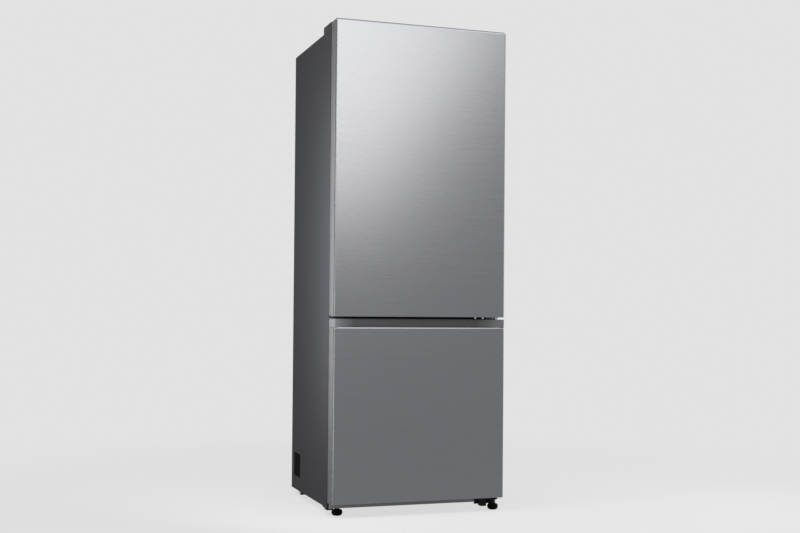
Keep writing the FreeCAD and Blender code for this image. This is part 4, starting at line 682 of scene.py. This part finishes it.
# How wide the other nodes' edges are rounded, in millimetres.
EDGE_WIDTHS = {
    "top_cover": 1.1, "kick_plate": 0.8, "lower_hinge": 0.8, "top_hinge": 0.5,
    "freezer_door_bottom_cap": 0.8, "rear_cover": 0.4, "rear_spacers": 3.0,
    "freezer_back_panel": 0.7, "air_duct": 2.5, "ceiling_lamp": 1.2, "fridge_shelf_trims": 0.9,
    "crisper_cover": 1.0, "freezer_shelves": 0.7, "fridge_shelf_glasses": 0.7, "door_bins": 0.9,
    "bottle_bin": 0.9, "crisper_left": 0.9, "crisper_right": 0.9, "freezer_drawer_low": 0.9,
    "freezer_drawer_middle": 0.9, "freezer_drawer_high": 0.9, "compressor_plate": 0.5, "base_frame": 0.3,
    "rear_roller_left": 1.5, "rear_roller_right": 1.5, "compressor_grommets": 1.2, "drip_tray": 0.8,
    "condenser_fan_mount": 0.7, "evaporator_fan_motor": 0.7,
    "fridge_door_gasket": 1.5, "freezer_door_gasket": 1.5, "fridge_door_liner": 0.9,
    "freezer_door_liner": 0.9, "fridge_liner": 0.8, "freezer_liner": 0.8, "compressor": 2.0,
    "back_panel": 0.2, "roller_axles": 0.5, "condenser_fan": 0.3, "evaporator_fan": 0.3,
    "condenser_coil": 0.4,
}
for node, width in EDGE_WIDTHS.items():
    soften(node, width * MM)

for node, item in frame["nodes"].items():
    item.data.materials.clear()
    item.data.materials.append(MATERIALS[SLOT_OF[node]])


# Floor, world, lights and camera

BACKDROP = 0.76
FLOOR_REACH = 3.2
FLOOR_CLEAR = 1.2
FLOOR_RINGS = 64
FLOOR_WHITE = 0.15
FLOOR_LIFT = 0.635
FLOOR_DROP = 0.05 * MM
COOL = 1.005


def pale(level):
    """A very slightly cool white of a given level."""
    return (level, level, level * COOL, 1)


def seen_rays(tree):
    """1 for rays from the camera, gloss and glass, and 0 for the light that falls on the object."""
    rays = tree.nodes.new("ShaderNodeLightPath")
    seen = rays.outputs["Is Camera Ray"]
    for kind in ("Is Glossy Ray", "Is Transmission Ray"):
        either = tree.nodes.new("ShaderNodeMath")
        either.operation = "MAXIMUM"
        tree.links.new(seen, either.inputs[0])
        tree.links.new(rays.outputs[kind], either.inputs[1])
        seen = either.outputs[0]
    return seen


def floor():
    """A pale disc that fades out towards its rim, so that no horizon shows."""
    mesh = bmesh.new()
    bmesh.ops.create_circle(mesh, cap_ends=True, radius=FLOOR_REACH, segments=FLOOR_RINGS)
    data = bpy.data.meshes.new("floor")
    mesh.to_mesh(data)
    mesh.free()
    disc = bpy.data.objects.new("floor", data)
    bpy.context.scene.collection.objects.link(disc)
    disc.location.z = -FLOOR_DROP
    material = bpy.data.materials.new("floor_white")
    material.use_nodes = True
    material.node_tree.nodes.clear()
    place = add_node(material, "ShaderNodeTexCoord")
    distance = add_node(material, "ShaderNodeVectorMath", operation="LENGTH")
    fade = add_node(material, "ShaderNodeMapRange", interpolation_type="SMOOTHERSTEP")
    fade.inputs["From Min"].default_value = FLOOR_CLEAR
    fade.inputs["From Max"].default_value = FLOOR_REACH
    fade.inputs["To Min"].default_value = 0
    fade.inputs["To Max"].default_value = 1
    white = add_node(material, "ShaderNodeBsdfDiffuse")
    white.inputs["Color"].default_value = pale(FLOOR_WHITE)
    lift = add_node(material, "ShaderNodeMath", operation="MULTIPLY")
    lift.inputs[1].default_value = FLOOR_LIFT
    glow = add_node(material, "ShaderNodeEmission")
    both = add_node(material, "ShaderNodeAddShader")
    clear = add_node(material, "ShaderNodeBsdfTransparent")
    blend = add_node(material, "ShaderNodeMixShader")
    output = add_node(material, "ShaderNodeOutputMaterial")
    wire(material, place.outputs["Object"], distance.inputs[0])
    wire(material, distance.outputs["Value"], fade.inputs["Value"])
    wire(material, fade.outputs["Result"], blend.inputs[0])
    wire(material, seen_rays(material.node_tree), lift.inputs[0])
    wire(material, lift.outputs[0], glow.inputs["Strength"])
    wire(material, white.outputs[0], both.inputs[0])
    wire(material, glow.outputs[0], both.inputs[1])
    wire(material, both.outputs[0], blend.inputs[1])
    wire(material, clear.outputs[0], blend.inputs[2])
    wire(material, blend.outputs[0], output.inputs["Surface"])
    data.materials.append(material)


FILL = 0.42


def world_light():
    """A pale backdrop for the camera, gloss and glass, and a lower even light for everything else."""
    world = bpy.data.worlds.new("studio")
    bpy.context.scene.world = world
    world.use_nodes = True
    world.node_tree.nodes.clear()
    shown = add_node(world, "ShaderNodeBackground")
    shown.inputs["Color"].default_value = pale(BACKDROP)
    fill = add_node(world, "ShaderNodeBackground")
    fill.inputs["Color"].default_value = (FILL, FILL, FILL, 1)
    blend = add_node(world, "ShaderNodeMixShader")
    output = add_node(world, "ShaderNodeOutputWorld")
    wire(world, seen_rays(world.node_tree), blend.inputs[0])
    wire(world, fill.outputs[0], blend.inputs[1])
    wire(world, shown.outputs[0], blend.inputs[2])
    wire(world, blend.outputs[0], output.inputs["Surface"])


def panel(name, centre, towards, size, radiance, turn=0.0, colour=(1, 1, 1)):
    """A soft rectangular lamp of a given radiance, turned about its own axis in degrees."""
    lamp = bpy.data.lights.new(name, "AREA")
    lamp.shape = "RECTANGLE"
    lamp.size, lamp.size_y = size
    lamp.energy = radiance * math.pi * size[0] * size[1]
    lamp.color = colour
    item = bpy.data.objects.new(name, lamp)
    bpy.context.scene.collection.objects.link(item)
    item.location = centre
    aim = (Vector(towards) - Vector(centre)).to_track_quat("-Z", "Y")
    item.rotation_mode = "QUATERNION"
    item.rotation_quaternion = aim @ Matrix.Rotation(math.radians(turn), 3, "Z").to_quaternion()
    item.visible_camera = False
    return item


CAMERA_PLACE = (-1.66051, -4.96219, 0.84871)
CAMERA_YAW = 18.7698
CAMERA_PITCH = 1.0
CAMERA_ROLL = 0.4757
CAMERA_LENS = 53.271
CAMERA_SENSOR = 36
CAMERA_SHIFT_Y = 0.02759


def camera():
    """The photograph's viewpoint. Turns are in degrees, lens and sensor in millimetres."""
    data = bpy.data.cameras.new("camera")
    data.lens = CAMERA_LENS
    data.sensor_width = CAMERA_SENSOR
    data.shift_y = CAMERA_SHIFT_Y
    item = bpy.data.objects.new("camera", data)
    bpy.context.scene.collection.objects.link(item)
    turn = (Matrix.Rotation(math.radians(-CAMERA_YAW), 4, "Z")
            @ Matrix.Rotation(math.radians(90 + CAMERA_PITCH), 4, "X")
            @ Matrix.Rotation(math.radians(CAMERA_ROLL), 4, "Z"))
    item.matrix_world = Matrix.Translation(CAMERA_PLACE) @ turn
    bpy.context.scene.camera = item


floor()
world_light()
# The key panel's lower right edge runs up to the right, so the fridge door darkens that way.
KEY_CENTRE = (0.552, -4.35, 3.068)
KEY_SIDE = 2.465
KEY_RADIANCE = 4.35
KEY_TURN = 53.6
KEY_COLOUR = (1.0, 0.985, 0.925)
panel("key", KEY_CENTRE, (KEY_CENTRE[0], 0, KEY_CENTRE[2]), (KEY_SIDE, KEY_SIDE), KEY_RADIANCE,
      turn=KEY_TURN, colour=KEY_COLOUR)

# Each lamp's name, centre, aim, size, radiance and the rays that don't see it. The side's own lamp
# gives no reflection. The last two show as reflections alone: they light the doors' left corners and
# their top edges.
LAMPS = (
    ("overhead", (0, -1.2, 4.6), (0, -1.2, 0), (5.0, 4.0), 1.0, None),
    ("left", (-0.775, -0.55, 1.08), (-0.375, -0.15, 1.08), (0.3, 1.25), 11.0, "visible_glossy"),
    ("right", (1.9, -0.9, 1.5), (0.375, 0.1, 1.0), (1.2, 1.8), 2.0, None),
    ("corners", (-1.0, -1.15, 0.95), (-0.375, -0.25, 0.95), (0.5, 2.0), 3.4, "visible_diffuse"),
    ("edges", (0, -1.5, 4.5), (0, -1.5, 0), (5.0, 4.4), 2.0, "visible_diffuse"),
)
for name, centre, aim, size, radiance, blind in LAMPS:
    lamp = panel(name, centre, aim, size, radiance)
    if blind:
        setattr(lamp, blind, False)
camera()

bpy.context.scene.view_settings.view_transform = "Standard"
